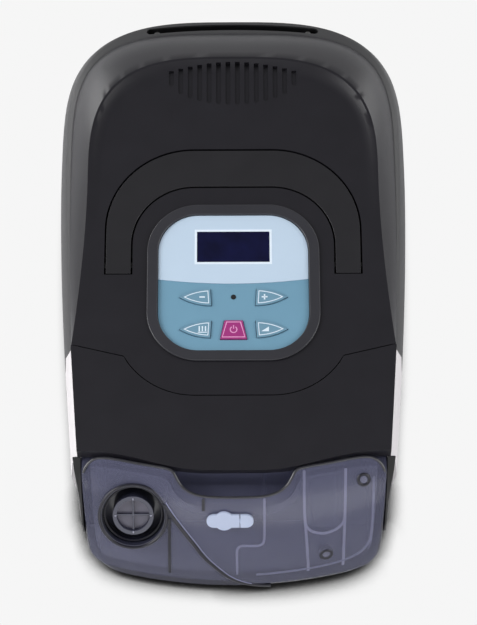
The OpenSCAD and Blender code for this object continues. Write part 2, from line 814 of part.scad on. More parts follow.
module motor_bearings() {
    bearing_places = [stator_z, stator_z + stator_h - bearing_h];
    color("gainsboro") blower_place() for (z = bearing_places) translate([0, 0, z])
        difference() {
            cylinder(r = bearing_r, h = bearing_h);
            translate([0, 0, -1]) cylinder(r = shaft_r + 0.03, h = bearing_h + 2);
        }
}

shaft_l = 36;
module motor_shaft() {
    color("silver") blower_place() translate([0, 0, stator_z + 0.3]) cylinder(r = shaft_r, h = shaft_l - 0.3);
}

impeller_z = stator_z + stator_h + 3;
module impeller() {
    color([0.92, 0.92, 0.9]) blower_place() translate([0, 0, impeller_z]) difference() {
        union() {
            cylinder(r = impeller_r, h = 1.6);
            cylinder(r = 6, h = shaft_l - stator_h - 4);
            for (i = [0:blade_count - 1]) rotate(i * 360 / blade_count) translate([0, 0, 1.6 - eps])
                linear_extrude(10) intersection() {
                    difference() {
                        translate([18, 14]) circle(18, $fn = 96);
                        translate([18, 14]) circle(16.8, $fn = 96);
                    }
                    translate([8, -8]) square([16, 14]);
                }
        }
        translate([0, 0, -1]) cylinder(r = shaft_r, h = shaft_l);
    }
}

duct_start_y = blower_y - sqrt(pow(blower_r - blower_wall, 2) - pow(air_x - blower_x, 2)) + 4;
module outlet_duct() {
    color([0.3, 0.3, 0.32]) translate([air_x, 0, air_z]) difference() {
        along_y(seam_y, duct_start_y, duct_r);
        along_y(seam_y - 1, duct_start_y + 1, duct_r - duct_wall);
    }
}

module muffler_box() {
    color([0.22, 0.22, 0.24]) difference() {
        box([-50, rear_y - 58, 42 - filter_h / 2], [0, rear_y - 32, 42 + filter_h / 2]);
        box([-48, rear_y - 56, 44 - filter_h / 2], [-2, rear_y - 34, 40 + filter_h / 2]);
        translate([-25, 0, 42]) along_y(rear_y - 40, rear_y - 30, 12);
        translate([-12, 0, 50]) along_y(rear_y - 60, rear_y - 54, 7);
    }
}

module power_supply() {
    color([0.12, 0.4, 0.25]) {
        box([-72, seam_y + 14, chassis_z + 5], [-38, seam_y + 118, chassis_z + 6.6]);
        box([-70, seam_y + 20, chassis_z + 6.6], [-42, seam_y + 50, chassis_z + 30]);
        box([-68, seam_y + 58, chassis_z + 6.6], [-44, seam_y + 70, chassis_z + 26]);
        for (v = [82, 104]) translate([-56, seam_y + v, chassis_z + 6.6]) cylinder(r = 8, h = 24);
    }
}

module main_board() {
    color([0.1, 0.38, 0.22]) {
        box([-30, seam_y + 10, chassis_z + 12], [30, seam_y + 54, chassis_z + 13.6]);
        box([-10, seam_y + 22, chassis_z + 13.6], [8, seam_y + 40, chassis_z + 16]);
        box([-26, seam_y + 14, chassis_z + 13.6], [-18, seam_y + 50, chassis_z + 20]);
        box([14, seam_y + 16, chassis_z + 13.6], [26, seam_y + 30, chassis_z + 22]);
    }
}

card_in_x = 58;
card_t = 2.1;
card_out_x = half_w - 7.2;
module card_socket() {
    color([0.7, 0.7, 0.72]) difference() {
        box([card_in_x - 3, card_y - 14.5, chassis_z], [card_in_x + 24, card_y + 14.5, card_z + 3]);
        box([card_in_x, card_y - 12.2, card_z - card_t / 2 - 0.2],
            [card_in_x + 100, card_y + 12.2, card_z + card_t / 2 + 0.2]);
    }
}

module data_card() {
    color([0.15, 0.2, 0.4])
        box([card_in_x + 0.2, card_y - 12, card_z - card_t / 2],
            [card_out_x, card_y + 12, card_z + card_t / 2]);
}

module dock_socket() {
    color([0.12, 0.12, 0.13]) difference() {
        box([socket_x - 16, seam_y + eps, socket_z - 6], [socket_x + 16, seam_y + 12, socket_z + 6]);
        box([socket_x - 13, seam_y - 1, socket_z - 4], [socket_x + 13, seam_y + 7, socket_z + 4]);
    }
}

// ---- Dock
bend_y = seam_y - tongue_l * cos(deck_tilt);
function dock_z(y) = y > bend_y ? deck_z(y) : deck_z(bend_y) - dock_bend_r
    * (cos(deck_tilt) - sqrt(1 - pow(sin(deck_tilt) + (bend_y - y) / dock_bend_r, 2)));
function lip_at(x) = lip_y + lip_bow * smooth((abs(x) - 16) / 61);
dock_seam_half = parting_half - parting_waist;
dock_half = dock_seam_half - 4.4;
lip_end_y = lip_y + lip_bow;
skirt_z = parting_z - 13.5;
bay_half = chamber_in_w / 2 + 1;
base_t = 2.5;
base_wall = 3;
base_out_x = bay_half + base_wall;
base_front_y = lip_end_y - 12;
bay_floor_z = foot_h + base_t;

// Plan of the dock's cover: the seam's shape behind, the bowed lip in front
module dock_plan(in) {
    polygon(concat(
        [[-dock_seam_half + in, dock_rear_y - in]],
        [for (i = [0:20]) let (x = mix(-dock_half + in, dock_half - in, i / 20)) [x, lip_at(x) + in]],
        [[dock_seam_half - in, dock_rear_y - in]]
    ));
}

// Side view of the dock's top, drawn in y and z and pulled out along X
module dock_profile(drop, low) {
    ys = [for (i = [0:16]) mix(dock_rear_y + 1, lip_y - 1, i / 16)];
    rotate([90, 0, 90]) translate([0, 0, -100]) linear_extrude(200) polygon(concat(
        [for (y = ys) [y, dock_z(y) - drop]], [[lip_y - 1, low], [dock_rear_y + 1, low]]
    ));
}

// The recess under the tongue has a level floor, so that the dock can be drawn off forward
recess_z = deck_z(bend_y) - cover_wall - 0.3;
shelf_t = 2.5;
module dock_cover() {
    color([0.19, 0.19, 0.2]) difference() {
        intersection() {
            dock_profile(0, skirt_z);
            translate([0, 0, skirt_z]) linear_extrude(40) dock_plan(0);
        }
        difference() {
            intersection() {
                dock_profile(cover_wall, 0);
                linear_extrude(200) dock_plan(2);
            }
            box([-dock_seam_half, bend_y - 3, recess_z - shelf_t], [dock_seam_half, dock_rear_y, recess_z]);
        }
        translate([0, seam_y, recess_z]) linear_extrude(20) scale([1, cos(deck_tilt)]) tongue_2d(-0.5, 3);
    }
}

// Half section of the side shells: how far each point lies in from the widest one, and its height
side_section = [[13, 0], [6, 4.6], [2, 23], [0, 46], [1.4, 64.3], [4.9, 73.8]];
module side_strip(w, y, top, in) {
    k = (top - foot_h) / 73.8;
    translate([0, y, 0]) rotate([90, 0, 0]) linear_extrude(0.2) polygon(concat(
        [[base_out_x - 1, foot_h + in]], [for (p = side_section) [w - p[0] - in, foot_h + max(in, p[1] * k)]],
        [[base_out_x - 1, top]]
    ));
}

module side_form(in, past) {
    hull() {
        side_strip(half_w - seam_waist, dock_rear_y + past, part_z(seam_y), in);
        side_strip(dock_half + 4.6, lip_end_y + 0.7 - past, skirt_z + 0.3, in);
    }
}

module dock_side_shells() {
    color([0.85, 0.84, 0.84]) for (s = [0, 1]) mirror([s, 0, 0]) difference() {
        side_form(0, 0);
        side_form(shell_wall, 0.3);
        translate([0, 0, skirt_z]) linear_extrude(40) dock_plan(0);
        box([0, -200, 0], [base_out_x, 0, 200]);
    }
}

// Wings of the base run forward close beside the chamber and fall away with its front
wing_gap = 0.5;
wing_x = chamber_w / 2 + wing_gap;
wing_l = 27;
wing_end_y = lip_end_y + 0.4;
module wings() {
    for (s = [0, 1]) mirror([s, 0, 0]) intersection() {
        translate([0, 0, foot_h]) linear_extrude(80) polygon([
            [bay_half, wing_end_y], [bay_half, lip_end_y - wing_l], [wing_x - 0.2, lip_end_y - wing_l],
            [wing_x + 0.5, lip_end_y - 19], [wing_x + 1.8, lip_end_y - 12], [wing_x + 3.3, lip_end_y - 6],
            [wing_x + 4.2, lip_end_y], [wing_x + 4, wing_end_y]
        ]);
        rotate([90, 0, 90]) linear_extrude(120) polygon([
            [wing_end_y, foot_h], [base_front_y, foot_h], [lip_end_y - wing_l + 4, 20],
            [lip_end_y - wing_l, 30], [lip_end_y - wing_l, 38], [lip_end_y - 14, skirt_z - 11],
            [lip_end_y, skirt_z], [wing_end_y, skirt_z]
        ]);
        translate([0, wing_end_y, 0]) rotate([90, 0, 0]) linear_extrude(60) polygon([
            [front_w(30) + wing_gap, 0], [front_w(30) + wing_gap, 30], [front_w(skirt_z) + wing_gap, skirt_z],
            [120, skirt_z], [120, 0]
        ]);
    }
}

// Side walls of the bay step outward in front, where the chamber is wider
step_low_z = 26;
step_top_z = skirt_z - 6.5;
step_wall = 1.4;
module bay_side() {
    step_y = front_mid_y + 0.5;
    box([bay_half, step_y, foot_h], [base_out_x, dock_rear_y, skirt_z]);
    box([base_out_x - 1, step_y, skirt_z - 2.5], [dock_half - 0.2, dock_rear_y, skirt_z]);
    box([bay_half, step_y, step_low_z], [wing_x + step_wall, step_y + base_wall, step_top_z]);
    box([wing_x, lip_end_y, step_low_z], [wing_x + step_wall, step_y + base_wall, step_top_z]);
    box([bay_half - 9, base_front_y + 2, bay_floor_z - 1], [bay_half - 4, chamber_rear_y, tub_z - 0.1]);
}

module dock_base() {
    plug_x = 11;
    plug_z = 3.4;
    color([0.14, 0.14, 0.15]) difference() {
        union() {
            translate([0, 0, foot_h]) linear_extrude(base_t) polygon([
                [-base_out_x, dock_rear_y], [-base_out_x, wing_end_y], [-wing_x - 4, wing_end_y],
                [-wing_x - 3, lip_end_y - 6], [-wing_x - 1, base_front_y], [wing_x + 1, base_front_y],
                [wing_x + 3, lip_end_y - 6], [wing_x + 4, wing_end_y], [base_out_x, wing_end_y],
                [base_out_x, dock_rear_y]
            ]);
            for (s = [0, 1]) mirror([s, 0, 0]) bay_side();
            box([-base_out_x, dock_rear_y - 4, foot_h], [base_out_x, dock_rear_y, skirt_z]);
            box([2 - dock_seam_half, dock_rear_y - 4, 20], [dock_seam_half - 2, dock_rear_y, skirt_z]);
            wings();
        }
        translate([air_x, 0, air_z]) along_y(dock_rear_y - 10, dock_rear_y + 1, duct_r + 1.5);
        box([socket_x - plug_x, dock_rear_y - 10, socket_z - plug_z],
            [socket_x + plug_x, dock_rear_y + 1, socket_z + plug_z]);
    }
}

module dock_duct() {
    color([0.35, 0.36, 0.38]) translate([air_x, 0, air_z]) difference() {
        union() {
            along_y(dock_rear_y - 4, dock_rear_y, duct_r + 1.5);
            along_y(chamber_rear_y + 0.3, dock_rear_y - 4, duct_r + 2.8);
        }
        along_y(chamber_rear_y - 1, dock_rear_y + 1, duct_r - duct_wall);
    }
}

module dock_plug() {
    color([0.75, 0.6, 0.25]) box([socket_x - 11, dock_rear_y - 7, socket_z - 3.4],
        [socket_x + 11, seam_y + 6, socket_z + 3.4]);
}

heater_z = bay_floor_z + 3;
heater_l = 54;
heater_y = chamber_rear_y - 6 - heater_l / 2;
module heater_insulator() {
    color([0.8, 0.76, 0.68]) translate([0, heater_y, bay_floor_z]) linear_extrude(3)
        round_rect(heater_w - 8, heater_l - 8, 10);
}

module heater_plate() {
    color("silver") translate([0, heater_y, heater_z]) linear_extrude(heater_t)
        round_rect(heater_w, heater_l, 14);
}

module dock_feet() {
    x = dock_half - 18;
    color([0.12, 0.12, 0.12]) foot_group([
        for (s = [-1, 1]) for (y = [dock_rear_y - 18, base_front_y + 12]) [s * x, y]
    ]);
}

// ---- Water chamber
top_edge_z = dock_z(lip_y) - 0.5;
round_z = top_edge_z - chamber_r * cos(chamber_slope);
// The tub's foremost ring reaches the front of the machine
tub_ring_z = foot_h + 6;
tub_ring_in = 0.3;
round_y = front_y - tub_ring_in + sqrt(pow(chamber_r, 2) - pow(tub_ring_z - round_z, 2));
tub_z = heater_z + heater_t + 0.2;
tub_floor_t = 2.2;
split_low_z = 17;
gasket_t = 1;
in_top_z = skirt_z - 2;
front_mid_y = lip_end_y + 12;
corner_n = 17;

function front_w(z) = chamber_w / 2 - 0.035 * (70 - z) - 22 * pow(max(0, (30 - z) / 30), 4.2);
function front_y_at(z) = round_y - chamber_r * sqrt(max(0, 1 - pow((z - round_z) / chamber_r, 2)));
function bow(x) = chamber_bow * pow(x / dock_half, 2);

// Plan of the chamber's front, from left round the front to the right
FRONT_T = [1, 0.998, 0.992, 0.98, 0.96, 0.93, 0.87, 0.78, 0.66, 0.52, 0.38, 0.22, 0.08];
function front_plan(w, y_front, y_mid, step) = [
    for (t = concat(-FRONT_T, [0], [for (i = [len(FRONT_T) - 1:-1:0]) FRONT_T[i]]))
        let (x = w * t, q = 1 - pow(abs(t), corner_n), y = y_mid + (y_front - y_mid) * pow(q, 1 / corner_n))
        [x, y + (bow(x) + step * smooth((x + 78) / 36)) * pow(q, 0.25)]
];

// The same surface as a function of x and z
function surface_y(x, z) =
    let (q = 1 - pow(abs(x) / front_w(z), corner_n))
    front_mid_y + (front_y_at(z) - front_mid_y) * pow(q, 1 / corner_n) + bow(x) * pow(q, 0.25);

function front_ring(z, in, back, step) =
    [for (p = front_plan(front_w(z) - in, front_y_at(z) + in + back, front_mid_y - in, step))
        [p[0], p[1], z]];

module front_form(z_low, z_top, in, back, step, n) {
    skin([for (i = [0:n]) front_ring(mix(z_low, z_top, sin(i * 90 / n)), in, back, step)]);
}

// Chamber's top edge: distance from the middle, and how far it lies behind the lip's foremost point
EDGE = [
    [0, -12.4], [12, -12.1], [19, -11.2], [24, -9.6], [28, -7], [30.5, -3.8], [32.5, -0.6], [35, 1],
    [41, 2.3], [51, 4.2], [63, 7], [73, 8.3], [100, 8.6],
];
module behind_edge(in) {
    half = [for (e = EDGE)
        [e[0] + (e[0] > 0 ? in : 0), lip_y - in + (e[1] < 0 ? e[1] * notch_l / 12.4 : e[1])]];
    last = len(half) - 1;
    polygon(concat(
        half, [[half[last][0], front_mid_y + 20], [-half[last][0], front_mid_y + 20]],
        [for (i = [last:-1:1]) [-half[i][0], half[i][1]]]
    ));
}

notch_z = in_top_z - 16;
notch_half = 33;
module edge_cut(in) {
    translate([0, 0, in_top_z - in]) linear_extrude(60) behind_edge(in);
    translate([0, 0, notch_z - in]) linear_extrude(60) intersection() {
        behind_edge(in);
        translate([-notch_half - in, lip_y - 20 - in]) square([2 * (notch_half + in), 22 + 2 * in]);
    }
}

// Lower left part of the front lies deeper, below an S-shaped edge
step_d = 2.4;
module step_region() {
    rotate([90, 0, 0]) translate([0, 0, 100]) linear_extrude(100) polygon([
        [-110, 0], [-110, 54.2], [-35.5, 54.2], [-31.3, 50.2], [-23.4, 41.8], [-17, 35], [-11.3, 28.3],
        [-6.4, 22.3], [-1.9, 17.2], [2, 13], [2, 0]
    ]);
}

module rear_block(in, low, top) {
    x = chamber_in_w / 2 - in;
    box([-x, front_mid_y - 4 - in, low], [x, chamber_rear_y - in, top]);
}

module chamber_outside() {
    difference() {
        front_form(split_low_z, top_edge_z, 0, 0, 0, 12);
        difference() {
            step_region();
            front_form(split_low_z - 1, top_edge_z + 1, 0, 0, step_d, 12);
        }
    }
    rear_block(0, split_low_z, in_top_z);
}

module chamber_inside() {
    front_form(split_low_z - 1, top_edge_z - chamber_wall, chamber_wall, step_d, 0, 8);
    rear_block(chamber_wall, split_low_z - 1, in_top_z - chamber_wall);
}

port_x = 27.8 - chamber_w / 2;
port_z = top_edge_z - 19.358;
port_wall = 1.6;
module port_place() {
    translate([port_x, surface_y(port_x, port_z), port_z]) rotate([outlet_tilt, 0, 0]) children();
}

fill_x = -5.4;
fill_z = top_edge_z - 16.758;
module fill_place() {
    translate([fill_x, surface_y(fill_x, fill_z), fill_z])
        rotate([acos((fill_z - round_z) / chamber_r), 0, 0]) children();
}

smoke = [0.42, 0.43, 0.52, 0.6];
module chamber_cover() {
    color(smoke) difference() {
        chamber_outside();
        edge_cut(0);
        difference() {
            chamber_inside();
            edge_cut(chamber_wall);
        }
        port_place() translate([0, 0, -outlet_l - 2]) cylinder(r = well_r + port_wall, h = 60);
        fill_place() translate([0, 0, -5]) cylinder(r = fill_r, h = 20);
        translate([air_x, 0, air_z]) along_y(chamber_rear_y - 5, chamber_rear_y + 1, duct_r - duct_wall);
    }
}

module outlet_port() {
    floor_t = 2;
    color([0.3, 0.31, 0.42, 0.7]) port_place() {
        difference() {
            translate([0, 0, -outlet_l - floor_t])
                cylinder(r = well_r + port_wall, h = outlet_l + floor_t + 0.8);
            translate([0, 0, -outlet_l]) cylinder(r = well_r, h = 40);
            translate([0, 0, -outlet_l - 3]) cylinder(r = outlet_bore, h = 40);
        }
        difference() {
            translate([0, 0, -outlet_l - floor_t]) cylinder(r = outlet_r, h = outlet_l + floor_t);
            translate([0, 0, -outlet_l - 3]) cylinder(r = outlet_bore, h = 60);
        }
        for (a = [0, 90]) rotate(a) translate([0, 0, -2])
            cube([2 * outlet_bore + 0.4, 0.9, 1.6], center = true);
    }
}

// Plan of the joint between the tub and the cover
module joint_2d(in, back) {
    z = split_low_z;
    polygon(front_plan(front_w(z) - in, front_y_at(z) + in + back, front_mid_y - in, 0));
    translate([in - chamber_in_w / 2, front_mid_y - 4 - in])
        square([chamber_in_w - 2 * in, chamber_rear_y - front_mid_y + 4]);
}

plate_w = heater_w - 4;
plate_l = heater_l - 4;
plate_rim_t = 1;
module chamber_tub() {
    top = split_low_z - gasket_t;
    color(smoke) difference() {
        union() {
            skin([
                front_ring(foot_h + 1, 2.6, 0, 0), front_ring(foot_h + 3, 1, 0, 0),
                front_ring(tub_ring_z, tub_ring_in, 0, 0), front_ring(top, 0.2, 0, 0)
            ]);
            rear_block(0, tub_z, top);
        }
        box([-100, base_front_y - 1, -1], [100, 0, tub_z]);
        front_form(1, tub_z - 0.5, 6, 0, 0, 3);
        front_form(tub_z + tub_floor_t, top + 1, chamber_wall, step_d, 0, 2);
        rear_block(chamber_wall, tub_z + tub_floor_t, top + 1);
        translate([0, heater_y, 0]) linear_extrude(40) round_rect(plate_w, plate_l, 12);
    }
}

module chamber_plate() {
    color("silver") translate([0, heater_y, tub_z]) {
        linear_extrude(tub_floor_t) round_rect(plate_w, plate_l, 12);
        translate([0, 0, tub_floor_t]) linear_extrude(plate_rim_t) round_rect(plate_w + 8, plate_l + 8, 16);
    }
}

module chamber_gasket() {
    color([0.3, 0.3, 0.34]) translate([0, 0, split_low_z - gasket_t]) linear_extrude(gasket_t) difference() {
        joint_2d(0.8, 0);
        joint_2d(chamber_wall, step_d);
    }
}

channel_r = 11;
channel_wall = 1.4;
channel_l = 75;
// Side view of the channel: its top falls away behind the chamber's rounded front
module channel_side() {
    low_y = chamber_rear_y - channel_l;
    top = in_top_z - chamber_wall;
    rotate([90, 0, 90]) linear_extrude(200) polygon([
        [low_y - 1, 0], [low_y - 1, air_z - 4], [low_y + 7, air_z + 6], [low_y + 19, top],
        [chamber_rear_y, top], [chamber_rear_y, 0]
    ]);
}

module inlet_channel() {
    low_y = chamber_rear_y - channel_l;
    in_r = channel_r - channel_wall;
    color([0.5, 0.51, 0.6, 0.6]) intersection() {
        translate([air_x, 0, air_z]) difference() {
            union() {
                along_y(low_y, chamber_rear_y - chamber_wall, channel_r);
                box([-channel_r, low_y, 0], [channel_r, chamber_rear_y - chamber_wall, 20]);
            }
            along_y(low_y - 1, chamber_rear_y + 1, in_r);
            box([-in_r, low_y - 1, 0], [in_r, chamber_rear_y + 1, 30]);
        }
        channel_side();
    }
}

// Screw bosses hang from the inside of the front
boss_tilt = 35;
boss_places = [[chamber_w / 2 - 12.6, top_edge_z - 7.858], [chamber_w / 2 - 32.2, top_edge_z - 41.858]];
module chamber_bosses() {
    color([0.22, 0.22, 0.3]) intersection() {
        for (b = boss_places) translate([b[0], surface_y(b[0], b[1]), b[1]])
            rotate([boss_tilt, 0, 0]) translate([0, 0, -13]) difference() {
                cylinder(r = 4.2, h = 20);
                translate([0, 0, -1]) cylinder(r = 1.8, h = 30);
            }
        chamber_inside();
    }
}

module chamber_partition() {
    color([0.5, 0.51, 0.6, 0.6])
        box([15.6, front_y + 20, tub_z + tub_floor_t + plate_rim_t + 0.1],
            [17.2, lip_y + 22, notch_z - chamber_wall - 0.2]);
}

// ---- Filling stopper: a strap with a plug, hinged at its crease beside the anchor
strap_w = 7.4;
strap_lift = 0.7;
crease_x = 8.6;
crease_gap = 0.3;
strap_back = 5.7;
plug_l = 3.2;
module fill_stopper() {
    color([0.75, 0.8, 0.88]) fill_place() {
        translate([0, 0, strap_lift]) linear_extrude(strap_t) {
            circle(5.3);
            translate([-strap_back, -strap_w / 2]) square([crease_x - crease_gap + strap_back, strap_w]);
            translate([-strap_back, 0]) circle(strap_w / 2);
        }
        translate([0, 0, -plug_l]) cylinder(r1 = fill_r - 1.3, r2 = fill_r - 0.1, h = plug_l);
        cylinder(r = fill_r - 0.1, h = strap_lift);
    }
}

module stopper_anchor() {
    color([0.75, 0.8, 0.88]) fill_place() {
        translate([0, 0, strap_lift]) linear_extrude(strap_t) {
            translate([crease_x, -strap_w / 2]) square([3.4, strap_w]);
            translate([crease_x + 3.4, 0]) circle(strap_w / 2);
        }
        translate([crease_x + 3.4, 0, 0]) cylinder(r = 2.4, h = strap_lift);
    }
}

lower_shell();
top_cover();
rear_slot_liner();
slot_screws();
unit_feet();
chassis();
case_screws();
blower_base();
blower_lid();
blower_mounts();
motor_stator();
motor_bearings();
outlet_duct();
muffler_box();
filter_frame();
air_filter();
power_supply();
power_inlet();
main_board();
card_socket();
dock_socket();
handle_pins();
panel_bezel();
panel_plate();
panel_film();
display_window();
display_module();
status_lens();
key_mat();
key_board();
handle();
key_minus();
key_plus();
key_humidity();
key_power();
key_ramp();
impeller();
motor_shaft();
filter_cover();
data_card();
dock_base();
dock_cover();
dock_side_shells();
heater_plate();
heater_insulator();
dock_duct();
dock_plug();
dock_feet();
chamber_cover();
chamber_tub();
chamber_gasket();
chamber_plate();
inlet_channel();
outlet_port();
chamber_bosses();
chamber_partition();
stopper_anchor();
fill_stopper();
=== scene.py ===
import bmesh
import bpy
import math
from mathutils import Matrix, Vector


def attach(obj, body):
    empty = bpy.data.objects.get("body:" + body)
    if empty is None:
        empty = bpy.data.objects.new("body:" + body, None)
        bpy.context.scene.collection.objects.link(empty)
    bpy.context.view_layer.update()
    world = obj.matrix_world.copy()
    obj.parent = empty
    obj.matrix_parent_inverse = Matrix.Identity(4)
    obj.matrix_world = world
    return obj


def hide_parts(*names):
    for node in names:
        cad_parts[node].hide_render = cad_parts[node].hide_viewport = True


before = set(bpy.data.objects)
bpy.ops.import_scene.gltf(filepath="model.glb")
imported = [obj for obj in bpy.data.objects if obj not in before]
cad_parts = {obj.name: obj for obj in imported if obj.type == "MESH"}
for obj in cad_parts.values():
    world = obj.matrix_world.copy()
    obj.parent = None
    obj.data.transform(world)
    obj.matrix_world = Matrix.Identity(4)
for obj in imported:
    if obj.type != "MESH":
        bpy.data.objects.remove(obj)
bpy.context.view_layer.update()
bpy.ops.object.select_all(action="DESELECT")
print("frame loaded:", len(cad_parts), "nodes")

# Everything is drawn in millimetres, and scaled as it is placed
machine = {
    "rearY": 160.7, "seamY": -52.8, "lipY": -121.4, "frontY": -160.7, "crestY": 118.7,
    "height": 112, "halfWidth": 99, "footHeight": 3, "deckTilt": 8, "crestRise": 3.5,
    "jointHeight": 79.5, "jointTilt": 3.5, "jointHalf": 91.4, "crestHalf": 81, "jointWaist": 3,
}
seamY, rearY = machine["seamY"], machine["rearY"]
tilt = math.radians(machine["deckTilt"])


def deckZ(y):
    return machine["height"] - machine["crestRise"] - (machine["crestY"] - y) * math.tan(tilt)


def jointZ(y):
    return machine["jointHeight"] + (y - seamY) * math.tan(math.radians(machine["jointTilt"]))


def crestZ(y):
    fade = seamY + 62
    return deckZ(y) + machine["crestRise"] * max(0, y - fade) / (machine["crestY"] - fade)


def mix(a, b, t):
    return a + (b - a) * t


def smooth(t):
    t = min(1, max(0, t))
    return t * t * (3 - 2 * t)


# ---- camera, as the photograph was taken
cameraSetup = {"away": 1300, "rise": 60, "target": (0, -11.3, 55), "aim": (2.8, -14.95, 52.9), "lens": 133.3}


def placeCamera():
    rise = math.radians(cameraSetup["rise"])
    target = Vector(cameraSetup["target"])
    spot = target + cameraSetup["away"] * Vector((0, -math.cos(rise), math.sin(rise)))
    bpy.ops.object.camera_add(location=spot * 0.001)
    camera = bpy.context.active_object
    camera.name = "photoCamera"
    camera.rotation_euler = (Vector(cameraSetup["aim"]) - spot).to_track_quat("-Z", "Y").to_euler()
    camera.data.lens = cameraSetup["lens"]
    camera.data.clip_start = 0.05
    bpy.context.scene.camera = camera


# ---- lamps and world
studio = {
    "background": 0.921, "ceiling": 0.3, "dome": 0.42,
    "lamps": [
        # name, place, aim, size, power
        ("leftPanel", (-480, 470, 190), (-40, 60, 90), (0.3, 0.3), 1.0),
        ("rightPanel", (500, 450, 190), (40, 60, 90), (0.3, 0.3), 0.6),
        ("leftBox", (-1150, -100, 900), (0, 0, 60), (0.9, 0.9), 15),
        ("rightBox", (1200, -150, 850), (0, 0, 60), (0.8, 0.8), 8),
        ("frontFill", (150, -1300, 480), (0, -100, 60), (1.2, 0.5), 3),
    ],
}


def lightStudio():
    scene = bpy.context.scene
    scene.view_settings.view_transform = "Standard"
    world = bpy.data.worlds.new("studioWorld")
    scene.world = world
    world.use_nodes = True
    tree = world.node_tree
    tree.nodes.clear()
    out = tree.nodes.new("ShaderNodeOutputWorld")
    lit = tree.nodes.new("ShaderNodeBackground")
    lit.inputs["Color"].default_value = (0.95, 0.96, 1, 1)
    lit.inputs["Strength"].default_value = studio["dome"]
    seen = tree.nodes.new("ShaderNodeBackground")
    back = studio["background"]
    seen.inputs["Color"].default_value = (back, back, back, 1)
    mirrored = tree.nodes.new("ShaderNodeBackground")  # pale at the horizon, dim overhead
    where = tree.nodes.new("ShaderNodeTexCoord")
    split = tree.nodes.new("ShaderNodeSeparateXYZ")
    fade = tree.nodes.new("ShaderNodeMapRange")
    fade.interpolation_type = "SMOOTHSTEP"
    fade.inputs["From Min"].default_value = 0.2
    fade.inputs["From Max"].default_value = 0.8
    fade.inputs["To Min"].default_value = back
    fade.inputs["To Max"].default_value = studio["ceiling"]
    path = tree.nodes.new("ShaderNodeLightPath")
    clear = tree.nodes.new("ShaderNodeMath")
    clear.operation = "MAXIMUM"
    chooseMirror = tree.nodes.new("ShaderNodeMixShader")
    chooseSeen = tree.nodes.new("ShaderNodeMixShader")
    tree.links.new(where.outputs["Generated"], split.inputs[0])
    tree.links.new(split.outputs["Z"], fade.inputs["Value"])
    tree.links.new(fade.outputs["Result"], mirrored.inputs["Color"])
    tree.links.new(path.outputs["Is Glossy Ray"], clear.inputs[0])
    tree.links.new(path.outputs["Is Transmission Ray"], clear.inputs[1])
    tree.links.new(clear.outputs[0], chooseMirror.inputs["Fac"])
    tree.links.new(lit.outputs[0], chooseMirror.inputs[1])
    tree.links.new(mirrored.outputs[0], chooseMirror.inputs[2])
    tree.links.new(path.outputs["Is Camera Ray"], chooseSeen.inputs["Fac"])
    tree.links.new(chooseMirror.outputs[0], chooseSeen.inputs[1])
    tree.links.new(seen.outputs[0], chooseSeen.inputs[2])
    tree.links.new(chooseSeen.outputs[0], out.inputs["Surface"])
    for name, place, aim, size, power in studio["lamps"]:
        spot = Vector(place) * 0.001
        bpy.ops.object.light_add(type="AREA", location=spot)
        lamp = bpy.context.active_object
        lamp.name = name
        lamp.rotation_euler = (Vector(aim) * 0.001 - spot).to_track_quat("-Z", "Y").to_euler()
        lamp.data.shape = "RECTANGLE"
        lamp.data.size, lamp.data.size_y = size
        lamp.data.energy = power
        lamp.visible_camera = False


def layFloor():
    bpy.ops.mesh.primitive_plane_add(size=8, location=(0, 0, 0))
    floor = bpy.context.active_object
    floor.name = "studioFloor"
    paper = bpy.data.materials.new("paperFloor")
    paper.use_nodes = True
    tree = paper.node_tree
    tree.nodes.clear()
    out = tree.nodes.new("ShaderNodeOutputMaterial")
    glow = tree.nodes.new("ShaderNodeEmission")
    matte = tree.nodes.new("ShaderNodeBsdfDiffuse")
    matte.inputs["Color"].default_value = (0.85, 0.85, 0.85, 1)
    near = tree.nodes.new("ShaderNodeAmbientOcclusion")  # painted contact shadow: the floor's glow darkens where the object stands, read from ambient occlusion
    near.inputs["Distance"].default_value = 0.018
    near.samples = 16
    curve = tree.nodes.new("ShaderNodeMapRange")
    curve.inputs["From Min"].default_value = 0.46
    curve.inputs["From Max"].default_value = 0.9
    curve.inputs["To Min"].default_value = 0.01
    curve.inputs["To Max"].default_value = studio["background"]
    curve.interpolation_type = "SMOOTHSTEP"
    shade = tree.nodes.new("ShaderNodeCombineColor")
    path = tree.nodes.new("ShaderNodeLightPath")
    choose = tree.nodes.new("ShaderNodeMixShader")
    tree.links.new(near.outputs["AO"], curve.inputs["Value"])
    for channel in ("Red", "Green", "Blue"):
        tree.links.new(curve.outputs["Result"], shade.inputs[channel])
    tree.links.new(shade.outputs["Color"], glow.inputs["Color"])
    tree.links.new(path.outputs["Is Camera Ray"], choose.inputs["Fac"])
    tree.links.new(matte.outputs[0], choose.inputs[1])
    tree.links.new(glow.outputs[0], choose.inputs[2])
    tree.links.new(choose.outputs[0], out.inputs["Surface"])
    floor.data.materials.append(paper)


